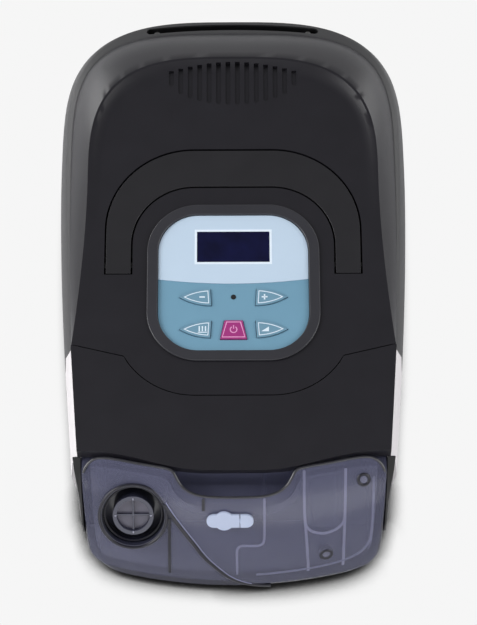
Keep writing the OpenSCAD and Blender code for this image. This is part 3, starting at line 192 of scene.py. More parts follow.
# ---- finishes
def moulded(name, color, roughness, grain=0.0, grainScale=1400, shift=0.06, shiftScale=60, specular=0.5,
            coat=0.0, alpha=1.0, metallic=0.0):
    made = bpy.data.materials.new(name)
    made.use_nodes = True
    tree = made.node_tree
    skin = tree.nodes["Principled BSDF"]
    skin.inputs["Metallic"].default_value = metallic
    skin.inputs["Specular IOR Level"].default_value = specular
    skin.inputs["Alpha"].default_value = alpha
    skin.inputs["Coat Weight"].default_value = coat
    skin.inputs["Coat Roughness"].default_value = 0.08
    where = tree.nodes.new("ShaderNodeTexCoord")
    cloudy = tree.nodes.new("ShaderNodeTexNoise")
    cloudy.inputs["Scale"].default_value = shiftScale
    cloudy.inputs["Detail"].default_value = 5
    tones = tree.nodes.new("ShaderNodeValToRGB")
    low = [c * (1 - shift) for c in color]
    high = [min(1, c * (1 + shift)) for c in color]
    tones.color_ramp.elements[0].position = 0.3
    tones.color_ramp.elements[0].color = (*low, 1)
    tones.color_ramp.elements[1].position = 0.7
    tones.color_ramp.elements[1].color = (*high, 1)
    polish = tree.nodes.new("ShaderNodeMapRange")
    polish.inputs["To Min"].default_value = roughness * 0.92
    polish.inputs["To Max"].default_value = min(1, roughness * 1.1)
    tree.links.new(where.outputs["Object"], cloudy.inputs["Vector"])
    tree.links.new(cloudy.outputs["Fac"], tones.inputs["Fac"])
    tree.links.new(tones.outputs["Color"], skin.inputs["Base Color"])
    tree.links.new(cloudy.outputs["Fac"], polish.inputs["Value"])
    tree.links.new(polish.outputs["Result"], skin.inputs["Roughness"])
    if grain:
        pores = tree.nodes.new("ShaderNodeTexNoise")
        pores.inputs["Scale"].default_value = grainScale
        pores.inputs["Detail"].default_value = 4
        bump = tree.nodes.new("ShaderNodeBump")
        bump.inputs["Strength"].default_value = grain
        bump.inputs["Distance"].default_value = 0.0002
        tree.links.new(where.outputs["Object"], pores.inputs["Vector"])
        tree.links.new(pores.outputs["Fac"], bump.inputs["Height"])
        tree.links.new(bump.outputs["Normal"], skin.inputs["Normal"])
    return made


finishes = {
    "coverBlack": moulded("coverBlack", (0.0105, 0.0098, 0.0135), 0.36, grain=0.05, specular=0.4),
    "handleBlack": moulded("handleBlack", (0.014, 0.0135, 0.016), 0.34, grain=0.05, specular=0.42),
    "shellGrey": moulded("shellGrey", (0.035, 0.035, 0.037), 0.5, grain=0.25, grainScale=1100, specular=0.5),
    "paleGrey": moulded("paleGrey", (0.72, 0.69, 0.7), 0.45, grain=0.08, shift=0.02),
    "deepBlack": moulded("deepBlack", (0.008, 0.008, 0.009), 0.45, grain=0.08),
    "softFoot": moulded("softFoot", (0.02, 0.02, 0.02), 0.8, grain=0.4, grainScale=700),
    "bezelGrey": moulded("bezelGrey", (0.026, 0.026, 0.032), 0.34, grain=0.03),
    "panelBlue": moulded("panelBlue", (0.155, 0.315, 0.43), 0.36, grain=0.02, shift=0.02),
    "panelPale": moulded("panelPale", (0.51, 0.63, 0.755), 0.34, grain=0.02, shift=0.01),
    "panelLine": moulded("panelLine", (0.74, 0.83, 0.92), 0.35, shift=0.01),
    "keyBlue": moulded("keyBlue", (0.15, 0.29, 0.39), 0.32, shift=0.02),
    "keyLine": moulded("keyLine", (0.72, 0.82, 0.9), 0.4, shift=0.01),
    "keyPink": moulded("keyPink", (0.34, 0.03, 0.19), 0.32, shift=0.02),
    "pinkLine": moulded("pinkLine", (0.75, 0.32, 0.56), 0.4, shift=0.01),
    "displayGlass": moulded("displayGlass", (0.003, 0.004, 0.03), 0.12, shift=0.3, shiftScale=90, specular=0.25),
    "smoke": moulded("smoke", (0.15, 0.155, 0.245), 0.16, alpha=0.45, shift=0.03, coat=0.15),
    # smokeLitWall: a lighter copy of the smoke, painted light on the chamber's inner side walls, the tub corner line
    # and the step's top edge
    "smokeLitWall": moulded("smokeLitWall", (0.4, 0.41, 0.6), 0.3, alpha=0.55, shift=0.03),
    # smokeLitLine: a lighter copy of the smoke, painted light on the inner wall and channel lines
    "smokeLitLine": moulded("smokeLitLine", (0.5, 0.5, 0.7), 0.3, alpha=0.7, shift=0.03),
    # darkSeamAndShade: dark lines and rings; along the step's edge it is painted shade
    "darkSeamAndShade": moulded("darkSeamAndShade", (0.01, 0.01, 0.018), 0.3, shift=0.05),
    # rimDarkGapShade: dark glossy rim plastic, also painted shade for the gap beside the dock cover lip
    "rimDarkGapShade": moulded("rimDarkGapShade", (0.022, 0.022, 0.028), 0.12, shift=0.02, coat=0.7),
    "portWall": moulded("portWall", (0.035, 0.037, 0.062), 0.25, shift=0.05),
    "lineGrey": moulded("lineGrey", (0.26, 0.26, 0.34), 0.3, shift=0.03),
    "portDisc": moulded("portDisc", (0.115, 0.11, 0.15), 0.4, shift=0.05, shiftScale=400, grain=0.1),
    # smokeShaded: a darker copy of the smoke, painted shade on the bottom band and on sides seen edge-on
    "smokeShaded": moulded("smokeShaded", (0.03, 0.031, 0.052), 0.2, alpha=0.85, shift=0.03, coat=0.2),
    # smokeLitRib: a lighter copy of the smoke, painted light on the inner channel and partition
    "smokeLitRib": moulded("smokeLitRib", (0.26, 0.27, 0.4), 0.2, alpha=0.55, shift=0.03),
    "stopperBlue": moulded("stopperBlue", (0.47, 0.53, 0.69), 0.45, grain=0.05, shift=0.03),
    "steel": moulded("steel", (0.6, 0.6, 0.6), 0.28, metallic=1, grain=0.05, grainScale=500),
    "bareMetal": moulded("bareMetal", (0.55, 0.55, 0.56), 0.38, metallic=1, grain=0.1, grainScale=400),
    "gold": moulded("gold", (0.7, 0.48, 0.18), 0.3, metallic=1),
    "copper": moulded("copper", (0.6, 0.27, 0.12), 0.4, metallic=1, grain=0.3, grainScale=900),
    "board": moulded("board", (0.02, 0.12, 0.05), 0.4, grain=0.1, shift=0.2, shiftScale=300),
    "offWhite": moulded("offWhite", (0.74, 0.74, 0.71), 0.45, grain=0.06, shift=0.02),
    "innerGrey": moulded("innerGrey", (0.09, 0.092, 0.1), 0.5, grain=0.1),
    "silicone": moulded("silicone", (0.6, 0.6, 0.56), 0.6, grain=0.05),
    "orangeRubber": moulded("orangeRubber", (0.7, 0.28, 0.08), 0.65, grain=0.1),
    "fibre": moulded("fibre", (0.62, 0.62, 0.58), 0.95, grain=0.9, grainScale=420, shift=0.12, shiftScale=500),
    "heatPad": moulded("heatPad", (0.5, 0.45, 0.36), 0.8, grain=0.4, grainScale=600),
    "cardBlue": moulded("cardBlue", (0.02, 0.04, 0.14), 0.4, grain=0.05),
}
print("finishes made:", len(finishes))


# ---- shaping helpers
def onlySelect(piece):
    bpy.ops.object.select_all(action="DESELECT")
    piece.select_set(True)
    bpy.context.view_layer.objects.active = piece


def settle(piece):
    onlySelect(piece)
    for modifier in list(piece.modifiers):
        bpy.ops.object.modifier_apply(modifier=modifier.name)


def numberPoints(piece, ring):  # an extruded point keeps the number of the one it came from
    seats = piece.data.attributes.new("seat", "INT", "POINT")
    for i, point in enumerate(ring):
        piece.data.vertices[i].co = Vector(point) * 0.001
        seats.data[i].value = i


def placeSelected(piece, ring):
    shape = bmesh.from_edit_mesh(piece.data)
    seat = shape.verts.layers.int["seat"]
    for vertex in shape.verts:
        if vertex.select:
            vertex.co = Vector(ring[vertex[seat]]) * 0.001
    bmesh.update_edit_mesh(piece.data)


def ringLoft(name, rings):
    bpy.ops.mesh.primitive_circle_add(vertices=len(rings[0]), radius=0.1, fill_type="NGON")
    piece = bpy.context.active_object
    piece.name = name
    numberPoints(piece, rings[0])
    bpy.ops.object.mode_set(mode="EDIT")
    bpy.ops.mesh.select_all(action="SELECT")
    for ring in rings[1:]:
        bpy.ops.mesh.extrude_region_move()
        placeSelected(piece, ring)
    bpy.ops.mesh.select_all(action="SELECT")
    bpy.ops.mesh.normals_make_consistent(inside=False)
    bpy.ops.object.mode_set(mode="OBJECT")
    piece.data.attributes.remove(piece.data.attributes["seat"])
    return piece


def prism(name, outline, low, high):
    return ringLoft(name, [[(x, y, low) for x, y in outline], [(x, y, high) for x, y in outline]])


def box(name, low, high):
    outline = [(low[0], low[1]), (high[0], low[1]), (high[0], high[1]), (low[0], high[1])]
    return prism(name, outline, low[2], high[2])


def rod(name, radius, low, high, sides=64, top=None):
    turns = [(math.cos(i * math.tau / sides), math.sin(i * math.tau / sides)) for i in range(sides)]
    wide = radius if top is None else top
    return ringLoft(name, [[(radius * x, radius * y, low) for x, y in turns],
                           [(wide * x, wide * y, high) for x, y in turns]])


def combine(piece, tool, how="DIFFERENCE"):
    step = piece.modifiers.new("combine", "BOOLEAN")
    step.operation = how
    step.solver = "EXACT"
    step.object = tool
    settle(piece)
    bpy.data.objects.remove(tool, do_unlink=True)


def soften(piece, width, segments=2, angle=35, smoothAngle=40, weighted=True):
    if width:
        edge = piece.modifiers.new("edge", "BEVEL")
        edge.width = width * 0.001
        edge.segments = segments
        edge.limit_method = "ANGLE"
        edge.angle_limit = math.radians(angle)
        edge.harden_normals = False
        edge.miter_outer = "MITER_ARC"
        settle(piece)
    onlySelect(piece)
    bpy.ops.object.shade_smooth_by_angle(angle=math.radians(smoothAngle))
    if weighted:
        even = piece.modifiers.new("even", "WEIGHTED_NORMAL")
        even.keep_sharp = True
        even.weight = 80
        settle(piece)


def turned(piece, matrix):
    shift = matrix.copy()
    shift.translation = shift.translation * 0.001
    piece.data.transform(shift)
    piece.data.update()
    return piece


def facing(place, lean):  # a frame at a place, leaned back from upright
    return Matrix.Translation(place) @ Matrix.Rotation(math.radians(lean), 4, "X")


deckFrame = facing((0, seamY, deckZ(seamY)), machine["deckTilt"])


def copyOf(node, name):
    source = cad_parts[node]
    piece = bpy.data.objects.new(name, source.data.copy())
    bpy.context.scene.collection.objects.link(piece)
    piece.data.transform(source.matrix_world)
    onlySelect(piece)
    bpy.ops.object.mode_set(mode="EDIT")
    bpy.ops.mesh.select_all(action="SELECT")
    bpy.ops.mesh.remove_doubles(threshold=0.00001)
    bpy.ops.mesh.dissolve_limited(angle_limit=math.radians(0.6))
    bpy.ops.object.mode_set(mode="OBJECT")
    return piece


def dress(piece, finish, body, nodes=()):
    piece.data.materials.clear()
    piece.data.materials.append(finishes[finish])
    for polygon in piece.data.polygons:
        polygon.material_index = 0
    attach(piece, body)
    if nodes:
        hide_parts(*nodes)


def paint(node, finish):
    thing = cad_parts[node]
    if not thing.data.materials:
        thing.data.materials.append(finishes[finish])
    for i in range(len(thing.data.materials)):
        thing.data.materials[i] = finishes[finish]


# ---- plan outlines of the blower unit
def halfPlan(seamHalf, midHalf, frontY, midY, rearY, power, sideSteps=10, arcStep=3):
    sides = [(mix(midHalf, seamHalf, (1 - i / sideSteps) ** 1.7), mix(frontY, midY, i / sideSteps))
             for i in range(sideSteps)]
    arc = []
    for a in range(0, 90, arcStep):
        c, s = math.cos(math.radians(a)), math.sin(math.radians(a))
        arc.append((midHalf * c ** (2 / power), midY + (rearY - midY) * s ** (2 / power)))
    return sides + arc


def wholePlan(half, rearY):
    return half + [(0, rearY)] + [(-x, y) for x, y in reversed(half)]


# ---- lower shell of the blower unit
lowerShell = {
    # inset at the middle, inset at the rear, share of the height, power, middle over the seam
    "rows": [(13, 9, 0, 3.6, 124), (6, 3.5, 0.06, 3.6, 124), (2, 0.8, 0.3, 3.6, 124), (0, 0, 0.6, 3.6, 124),
             (1.4, 0, 0.84, 3.6, 124), (4.6, 1.2, 0.975, 3.2, 124), (7.6, 10.7, 1, 3.6, 112)],
    "wall": 2.5, "waist": 5.8, "rim": 2.4, "edge": 0.5, "stepsPerRow": 4,
    "cuts": [  # name, low corner, high corner
        ("filterCut", (-46, rearY - 15, 22), (-4, rearY + 15, 62)),
        ("inletCut", (13, rearY - 15, 23), (43, rearY + 15, 45)),
        ("cardCut", (79, seamY + 19, 10.4), (104, seamY + 45, 13.6)),
        ("socketCut", (-56, seamY - 5, 28), (-24, seamY + 5, 40)),
    ],
    "ductRadius": 10, "ductPlace": (48.6, seamY, 44),
}


def shellRow(place):
    rows = lowerShell["rows"]
    i = min(int(place), len(rows) - 2)
    t = place - i
    before, a, b, after = rows[max(i - 1, 0)], rows[i], rows[i + 1], rows[min(i + 2, len(rows) - 1)]
    if i == len(rows) - 2:
        return [mix(p, q, t) for p, q in zip(a, b)]
    found = []
    for o, p, q, r in zip(before, a, b, after):
        bend = 0.5 * (2 * p + (q - o) * t + (2 * o - 5 * p + 4 * q - r) * t * t + (3 * p - o - 3 * q + r) * t ** 3)
        found.append(bend)
    return found


def shellRing(row, inward, lift, drop):
    inset, rearInset, share, power, middle = row
    foot = machine["footHeight"]
    waist = mix(lowerShell["waist"], machine["jointWaist"], smooth((share - 0.975) / 0.025))
    half = machine["halfWidth"] - inset - inward
    rear = machine["rearY"] - rearInset - inward
    plan = wholePlan(halfPlan(half - waist, half, seamY + inward, seamY + middle, rear, power), rear)
    return [(x, y, max(foot + lift, mix(foot, jointZ(y), share) - drop)) for x, y in plan]


rearSlot = {"bend": 420, "width": 100, "height": 4.6, "inset": 5.6, "below": 2.8, "grow": 1.2, "depth": 20}


def slotOutline(grow, steps=24):
    bend, width, height = rearSlot["bend"], rearSlot["width"], rearSlot["height"]
    y = rearY - rearSlot["inset"]
    lean = math.asin((width / 2 - height / 2) / bend)
    reach = height / 2 + grow
    points = []
    for i in range(steps + 1):
        a = mix(-lean, lean, i / steps)
        points.append(((bend - reach) * math.sin(a), y - bend + (bend - reach) * math.cos(a)))
    for i in range(1, 12):
        a = -math.pi / 2 + i * math.pi / 12
        dx, dy = reach * math.cos(a), reach * math.sin(a)
        points.append((bend * math.sin(lean) + dx * math.cos(lean) + dy * math.sin(lean),
                       y - bend + bend * math.cos(lean) + dy * math.cos(lean) - dx * math.sin(lean)))
    for i in range(steps + 1):
        a = mix(lean, -lean, i / steps)
        points.append(((bend + reach) * math.sin(a), y - bend + (bend + reach) * math.cos(a)))
    for i in range(1, 12):
        a = math.pi / 2 + i * math.pi / 12
        dx, dy = reach * math.cos(a), reach * math.sin(a)
        points.append((-bend * math.sin(lean) + dx * math.cos(lean) - dy * math.sin(lean),
                       y - bend + bend * math.cos(lean) + dy * math.cos(lean) + dx * math.sin(lean)))
    return points


def makeLowerShell():
    wall, steps = lowerShell["wall"], lowerShell["stepsPerRow"]
    outside = [shellRing(shellRow(i / steps), 0, 0, 0) for i in range(6 * steps + 1)]
    rim = [shellRing(lowerShell["rows"][6], wall, 0, 0)]
    inside = [shellRing(lowerShell["rows"][i], wall, wall, lowerShell["rim"] if i > 4 else 0)
              for i in (6, 5, 4, 3, 2, 1, 0)]
    piece = ringLoft("lowerShell", outside + rim + inside)
    slotTop = jointZ(rearY - rearSlot["inset"]) - rearSlot["below"]
    depth = rearSlot["depth"]
    combine(piece, prism("slotCut", slotOutline(rearSlot["grow"]), slotTop - depth, slotTop))
    combine(piece, prism("slotCut", slotOutline(0), slotTop - 1, slotTop - 1 + depth))
    for name, low, high in lowerShell["cuts"]:
        combine(piece, box(name, low, high))
    combine(piece, turned(rod("ductCut", lowerShell["ductRadius"], -5, 5), facing(lowerShell["ductPlace"], 90)))
    soften(piece, lowerShell["edge"], 2, 50)
    dress(piece, "shellGrey", "flow_generator", ["lower_shell"])
    print("lower shell done")


# ---- top cover with its bevel, dish, tongue, pocket and grip
topCover = {
    "wall": 2.8, "cove": 8, "jointMid": 112, "crestMid": 97, "sideSteps": 7, "edge": 0.45,
    "ribCount": 14, "ribPitch": 5.35, "ribWidth": 2.7, "ribDepth": 0.8,
    "scoopRadius": 27, "scoopTilt": 22, "scoopV": 128.7, "scoopDepth": 8.6, "padV": 101.7, "padDepth": 7.4,
    "pocketDepth": 8.7, "pocketGap": 1, "pocketWall": 2, "collar": 3,
    "pivotX": 63.2, "pivotDrop": 4.2, "sweepRadius": 8, "sweepHalf": 7.8,
}
handleShape = {"width": 140, "leg": 13.6, "top": 116.2, "grip": 22, "outerRadius": 48, "innerRadius": 35, "end": 48}
tongueShape = {"side": 86.4, "kinkX": 59.5, "kinkV": -6.4, "radius": 44, "flat": 21, "length": 29}
panelShape = {"halfWidth": 41.2, "halfHeight": 39.95, "radius": 22, "middle": 36.4}


def jointPlan(inward):
    half, waist = machine["jointHalf"] - inward, machine["jointWaist"]
    rear = machine["rearY"] - 10.7 - inward
    return wholePlan(halfPlan(half - waist, half, seamY + inward, seamY + topCover["jointMid"], rear, 3.6), rear)


def crestPlan(inward, front):
    seamHalf = machine["jointHalf"] - machine["jointWaist"] - 0.4
    rear = machine["crestY"] - inward
    return wholePlan(halfPlan(seamHalf - inward, machine["crestHalf"] - inward, seamY + front,
                              seamY + topCover["crestMid"], rear, 3.1), rear)


def archOutline(grow):
    half, top = handleShape["width"] / 2, handleShape["top"]
    xOut, xIn = half + grow, half - handleShape["leg"] - grow
    high, under = top + grow, top - handleShape["grip"] - grow
    rOut, rIn = handleShape["outerRadius"] + grow, handleShape["innerRadius"] - grow
    low = handleShape["end"] - grow
    arc = [math.radians(i * 90 / 24) for i in range(25)]
    points = [(xOut, low)]
    points += [(xOut - rOut + rOut * math.cos(a), high - rOut + rOut * math.sin(a)) for a in arc]
    points += [(-xOut + rOut - rOut * math.sin(a), high - rOut + rOut * math.cos(a)) for a in arc]
    points += [(-xOut, low), (-xIn, low)]
    points += [(-xIn + rIn - rIn * math.cos(a), under - rIn + rIn * math.sin(a)) for a in arc]
    points += [(xIn - rIn + rIn * math.sin(a), under - rIn + rIn * math.cos(a)) for a in arc]
    points += [(xIn, low)]
    return points


def tongueOutline():
    side, kinkX, kinkV = tongueShape["side"], tongueShape["kinkX"], tongueShape["kinkV"]
    r, flat, length = tongueShape["radius"], tongueShape["flat"], tongueShape["length"]
    points = [(-side, 0), (-kinkX, kinkV)]
    points += [(-flat - r * math.cos(math.radians(a)), r - length - r * math.sin(math.radians(a)))
               for a in range(35, 91, 3)]
    points += [(flat + r * math.cos(math.radians(a)), r - length - r * math.sin(math.radians(a)))
               for a in range(89, 34, -3)]
    return points + [(kinkX, kinkV), (side, 0), (side - 1, 3), (1 - side, 3)]


def panelOutline(grow, arcSteps=16):
    halfW, halfH, r = (panelShape[side] + grow for side in ("halfWidth", "halfHeight", "radius"))
    v = panelShape["middle"]
    points = []
    for cx, cy, start in ((1, 1, 0), (-1, 1, 90), (-1, -1, 180), (1, -1, 270)):
        for i in range(arcSteps + 1):
            a = math.radians(start + 90 * i / arcSteps)
            points.append((cx * (halfW - r) + r * math.cos(a), v + cy * (halfH - r) + r * math.sin(a)))
    return points


def makeTopCover():
    joint, crest = jointPlan(0), crestPlan(0, 0)
    lipRing, coveRing = crestPlan(1.2, 1.2), crestPlan(topCover["cove"], 3)
    inner = jointPlan(topCover["wall"])
    under = crestPlan(topCover["wall"], topCover["wall"])
    rings = [[(x, y, deckZ(y) - topCover["wall"]) for x, y in under], [(x, y, jointZ(y)) for x, y in inner]]
    steps = topCover["sideSteps"]
    for k in range(steps):
        t = k / steps
        across, up = t + 0.24 * t * (t - 1), t - 0.2 * t * (t - 1)
        ring = []
        for a, b in zip(joint, crest):
            ring.append((mix(a[0], b[0], across), mix(a[1], b[1], across), mix(jointZ(a[1]), crestZ(b[1]), up)))
        rings.append(ring)
    rings.append([(x, y, crestZ(y)) for x, y in crest])
    rings.append([(x, y, crestZ(y)) for x, y in lipRing])
    for t in (0.3, 0.65):
        ring = []
        for a, b in zip(lipRing, coveRing):
            fall = 1 - (1 - t) ** 1.6
            ring.append((mix(a[0], b[0], t), mix(a[1], b[1], t), mix(crestZ(a[1]), deckZ(b[1]), fall)))
        rings.append(ring)
    rings.append([(x, y, deckZ(y)) for x, y in coveRing])
    piece = ringLoft("topCover", rings)
    tongue = turned(prism("tongue", tongueOutline(), -topCover["wall"], 0), deckFrame)
    combine(piece, tongue, "UNION")
    depth, gap, wall = topCover["pocketDepth"], topCover["pocketGap"], topCover["pocketWall"]
    housing = turned(prism("housing", archOutline(gap + wall), -depth - wall, -0.6), deckFrame)
    combine(piece, housing, "UNION")
    combine(piece, turned(prism("pocket", archOutline(gap), -depth, 9), deckFrame))
    combine(piece, turned(prism("panelHole", panelOutline(topCover["collar"]), -20, 10), deckFrame))
    radius = topCover["scoopRadius"]
    padFrame = deckFrame @ Matrix.Translation((0, topCover["padV"], 0))
    combine(piece, turned(rod("scoopPad", radius + 2, -topCover["padDepth"], -0.4, 96), padFrame), "UNION")
    combine(piece, turned(prism("pocket", archOutline(gap), -depth, 9), deckFrame))
    scoopFrame = facing((0, topCover["scoopV"], 0), topCover["scoopTilt"]) @ Matrix.Translation((0, -radius, 0))
    scoop = turned(rod("scoop", radius, 0, 12, 128), scoopFrame)
    combine(scoop, box("scoopLimit", (-40, 60, -40), (40, 140, -topCover["scoopDepth"])))  # ends at the pocket's floor
    combine(piece, turned(scoop, deckFrame))
    half = topCover["ribPitch"] * (topCover["ribCount"] - 1) / 2
    for i in range(topCover["ribCount"]):
        x = i * topCover["ribPitch"] - half
        low = 162 - 15.6 * math.sqrt(1 - (x / (half + 1)) ** 2)
        high = max(low + 0.5, 171 - 5 * (x / half) ** 2)
        w = topCover["ribWidth"] / 2
        outline = [(x + w * math.cos(math.radians(a)), low + w * math.sin(math.radians(a)))
                   for a in range(180, 361, 15)]
        outline += [(x + w, high), (x - w, high)]
        combine(piece, turned(prism("groove", outline, -topCover["ribDepth"], 8), deckFrame))
    pinTurn = Matrix.Rotation(math.radians(90), 4, "Y")
    for side in (-1, 1):
        pivot = (side * topCover["pivotX"], handleShape["end"], -topCover["pivotDrop"])
        half = topCover["sweepHalf"]
        sweepCut = rod("sweep", topCover["sweepRadius"], -half, half, 48)
        combine(piece, turned(sweepCut, deckFrame @ Matrix.Translation(pivot) @ pinTurn))
    soften(piece, topCover["edge"], 2, 24, 34)
    dress(piece, "coverBlack", "flow_generator", ["top_cover"])
    print("top cover done")


placeCamera()
lightStudio()
layFloor()
makeLowerShell()
makeTopCover()

# ---- water chamber: the clear front with its step, rim, ribs and inner walls
chamber = {
    "halfWidth": 82, "radius": 78, "bow": 14, "bowHalf": 84, "middleY": -99.6, "corner": 17,
    "wall": 2.6, "topEdge": 69.758, "roundZ": 2.208, "inTop": 64, "notchFloor": 48, "rearY": -63.1,
    "rearHalf": 74, "rearFront": -103.6, "notchHalf": 33, "tubZ": 11.2, "floorZ": 13.6, "lipBack": -124.6,
    "stepDepth": 2.2, "stepTop": 60, "stepWidth": 1.6,
    "portPlace": (-54.2, -138.8, 50.4), "portLean": 47, "wellRadius": 18.5,
    "fillPlace": (-5.4, -142.43, 53), "fillLean": 49.37, "fillRadius": 4.6,
    "ductPlace": (48.6, -63.1, 44), "ductRadius": 8.5,
    "bosses": [("upperBoss", 69.4, 62.2), ("lowerBoss", 49.8, 27.9)],
    "stepEdge": [(-37.5, 57.5), (-36.1, 55.7), (-28.7, 47.7), (-22.3, 40.2), (-15.9, 31.2), (-9.5, 23.6),
                 (-2.5, 15.6), (4.6, 10.4), (12, 7.4), (20, 5.4)],
    "edge": [(0, -12.4), (12, -12.1), (19, -11.2), (24, -9.6), (28, -7), (30.5, -3.8), (32.5, -0.6), (35, 1),
             (41, 2.3), (51, 4.2), (63, 6.8), (70, 7.9), (74.5, 7.7), (78, 5.8), (80.4, 2.6), (81.6, -1.5)],
}
chamberRoundY = machine["frontY"] - 0.3 + math.sqrt(chamber["radius"] ** 2 - (9 - chamber["roundZ"]) ** 2)


def chamberHalf(z):
    return chamber["halfWidth"] - 0.035 * (70 - z) - 22 * max(0, (30 - z) / 30) ** 4.2


def chamberFrontY(z):
    high = (z - chamber["roundZ"]) / chamber["radius"]
    return chamberRoundY - chamber["radius"] * math.sqrt(max(0, 1 - high ** 2))


def chamberY(x, z, inward=0):
    share = min(1, abs(x) / (chamberHalf(z) - inward))
    inside = 1 - share ** chamber["corner"]
    middle = chamber["middleY"] - inward
    front = chamberFrontY(z) + inward
    bow = chamber["bow"] * (x / chamber["bowHalf"]) ** 2 * inside ** 0.25
    return middle + (front - middle) * inside ** (1 / chamber["corner"]) + bow


def chamberZ(x, y):
    low, high = 4, chamber["topEdge"]
    for i in range(40):
        z = (low + high) / 2
        if chamberY(x, z) < y:
            low = z
        else:
            high = z
    return high


def besideStep(x, z):  # distance from the S-shaped edge, positive on the deeper side
    best, side = 1e9, 1
    edge = chamber["stepEdge"]
    for a, b in zip(edge, edge[1:]):
        dx, dz = b[0] - a[0], b[1] - a[1]
        t = min(1, max(0, ((x - a[0]) * dx + (z - a[1]) * dz) / (dx * dx + dz * dz)))
        far = math.hypot(x - a[0] - t * dx, z - a[1] - t * dz)
        if far < best:
            best = far
            side = 1 if (x - a[0]) * dz - (z - a[1]) * dx > 0 else -1
    return best * side


def stepFall(x, z):
    inside = 1 - min(1, abs(x) / chamberHalf(z)) ** chamber["corner"]
    fade = smooth((chamber["stepTop"] - z) / 10) * inside ** 0.25
    return chamber["stepDepth"] * smooth(0.5 + besideStep(x, z) / chamber["stepWidth"]) * fade


def chamberRing(z, inward, stepped):
    half = chamberHalf(z) - inward
    shares = [i / 60 for i in range(56)] + [0.935, 0.95, 0.962, 0.972, 0.98, 0.987, 0.992, 0.996, 0.999, 1]
    ring = []
    for t in [-a for a in reversed(shares)] + shares[1:]:
        x = half * t
        y = chamberY(x, z, inward)
        ring.append((x, y + (stepFall(x, z) if stepped else 0), z))
    return ring


def edgeOutline(inward):
    half = [(x + (inward if x > 0 else 0), machine["lipY"] - inward + y) for x, y in chamber["edge"]]
    half += [(110, half[-1][1]), (110, -60)]
    return half + [(-x, y) for x, y in reversed(half[1:])]


def cutChamberEdge(piece, inward):
    outline = edgeOutline(inward)
    combine(piece, prism("edgeCut", outline, chamber["inTop"] - inward, 120))
    reach = chamber["notchHalf"] + inward
    notch = [(x, y) for x, y in outline if 0 <= x <= reach and y < machine["lipY"] + 3]
    notch += [(reach, notch[-1][1]), (reach, machine["lipY"] + 2 + inward)]
    notch += [(-x, y) for x, y in reversed(notch[1:])]
    combine(piece, prism("notchCut", notch, chamber["notchFloor"] - inward, 118))


def makeChamberShell():
    wall, half, rear = chamber["wall"], chamber["rearHalf"], chamber["rearY"]
    top, inTop, floor = chamber["topEdge"], chamber["inTop"], chamber["floorZ"]
    rises = [chamber["roundZ"] + chamber["radius"] * math.sin(math.radians(i * 1.02)) for i in range(59)]
    heights = [9] + [z for z in rises if 9.6 < z < top - 0.3] + [top]
    outside = [chamberRing(4, 2.6, False), chamberRing(6, 1, False)] + [chamberRing(z, 0, True) for z in heights]
    piece = ringLoft("chamberShell", outside)
    rearPart = box("rearPart", (-half, chamber["rearFront"], chamber["tubZ"]), (half, rear, inTop + 2))
    combine(piece, rearPart, "UNION")
    cutChamberEdge(piece, 0)
    combine(piece, box("underCut", (-100, chamber["lipBack"], -1), (100, 0, chamber["tubZ"])))
    insideHeights = [floor] + [z for z in heights[::3] if floor + 0.9 < z < top - 4] + [top - wall]
    deep = wall + chamber["stepDepth"]
    inner = ringLoft("chamberInside", [chamberRing(z, deep, False) for z in insideHeights])
    rearInside = box("rearInside", (wall - half, -106, floor), (half - wall, rear - wall, inTop - wall + 2))
    combine(inner, rearInside, "UNION")
    cutChamberEdge(inner, wall)
    combine(piece, inner)
    portCut = rod("portCut", chamber["wellRadius"], -18, 30, 96)
    combine(piece, turned(portCut, facing(chamber["portPlace"], chamber["portLean"])))
    fillCut = rod("fillCut", chamber["fillRadius"], -5, 15, 48)
    combine(piece, turned(fillCut, facing(chamber["fillPlace"], chamber["fillLean"])))
    ductCut = rod("ductCut", chamber["ductRadius"], -5, 5, 64)
    combine(piece, turned(ductCut, facing(chamber["ductPlace"], 90)))
    soften(piece, 0, smoothAngle=38)
    dress(piece, "smoke", "chamber", ["chamber_cover", "chamber_tub", "chamber_gasket"])
    for finish in ("smokeLitWall", "smokeShaded"):
        piece.data.materials.append(finishes[finish])
    for face in piece.data.polygons:
        middle, out = face.center * 1000, face.normal
        outward = out.x * middle.x > 0
        # inward-facing side walls take the lighter smoke: painted light
        if abs(out.x) > 0.75 and not outward and abs(middle.x) > 70:
            face.material_index = 1
        # faces below z 8.8 and outward sides seen edge-on take the darker smoke: painted shade
        elif middle.z < 8.8 or (outward and 0.5 < abs(out.x) < 0.99 and abs(middle.x) > 70):
            face.material_index = 2
    print("chamber shell done:", len(piece.data.polygons), "faces")


def frontNormal(x, z, reach):
    slopeX = (chamberY(x + reach, z) - chamberY(x - reach, z)) / (2 * reach)
    slopeZ = (chamberY(x, z + reach) - chamberY(x, z - reach)) / (2 * reach)
    return Vector((slopeX, -1, slopeZ)).normalized()


def sweep(name, path, section, depth=0, sunk=1):
    # the path is in x and z on the front, the section is in across and out
    spots = []
    for x, z in path:
        y = chamberY(x, z) + sunk * stepFall(x, z)
        spots.append((Vector((x, y, z)), frontNormal(x, z, 0.2)))
    rings = []
    for i, (spot, out) in enumerate(spots):
        before, after = spots[max(i - 1, 0)][0], spots[min(i + 1, len(spots) - 1)][0]
        along = (after - before).normalized()
        across = along.cross(out).normalized()
        rings.append([tuple(spot + across * a + out * (b + depth)) for a, b in section])
    return ringLoft(name, rings)


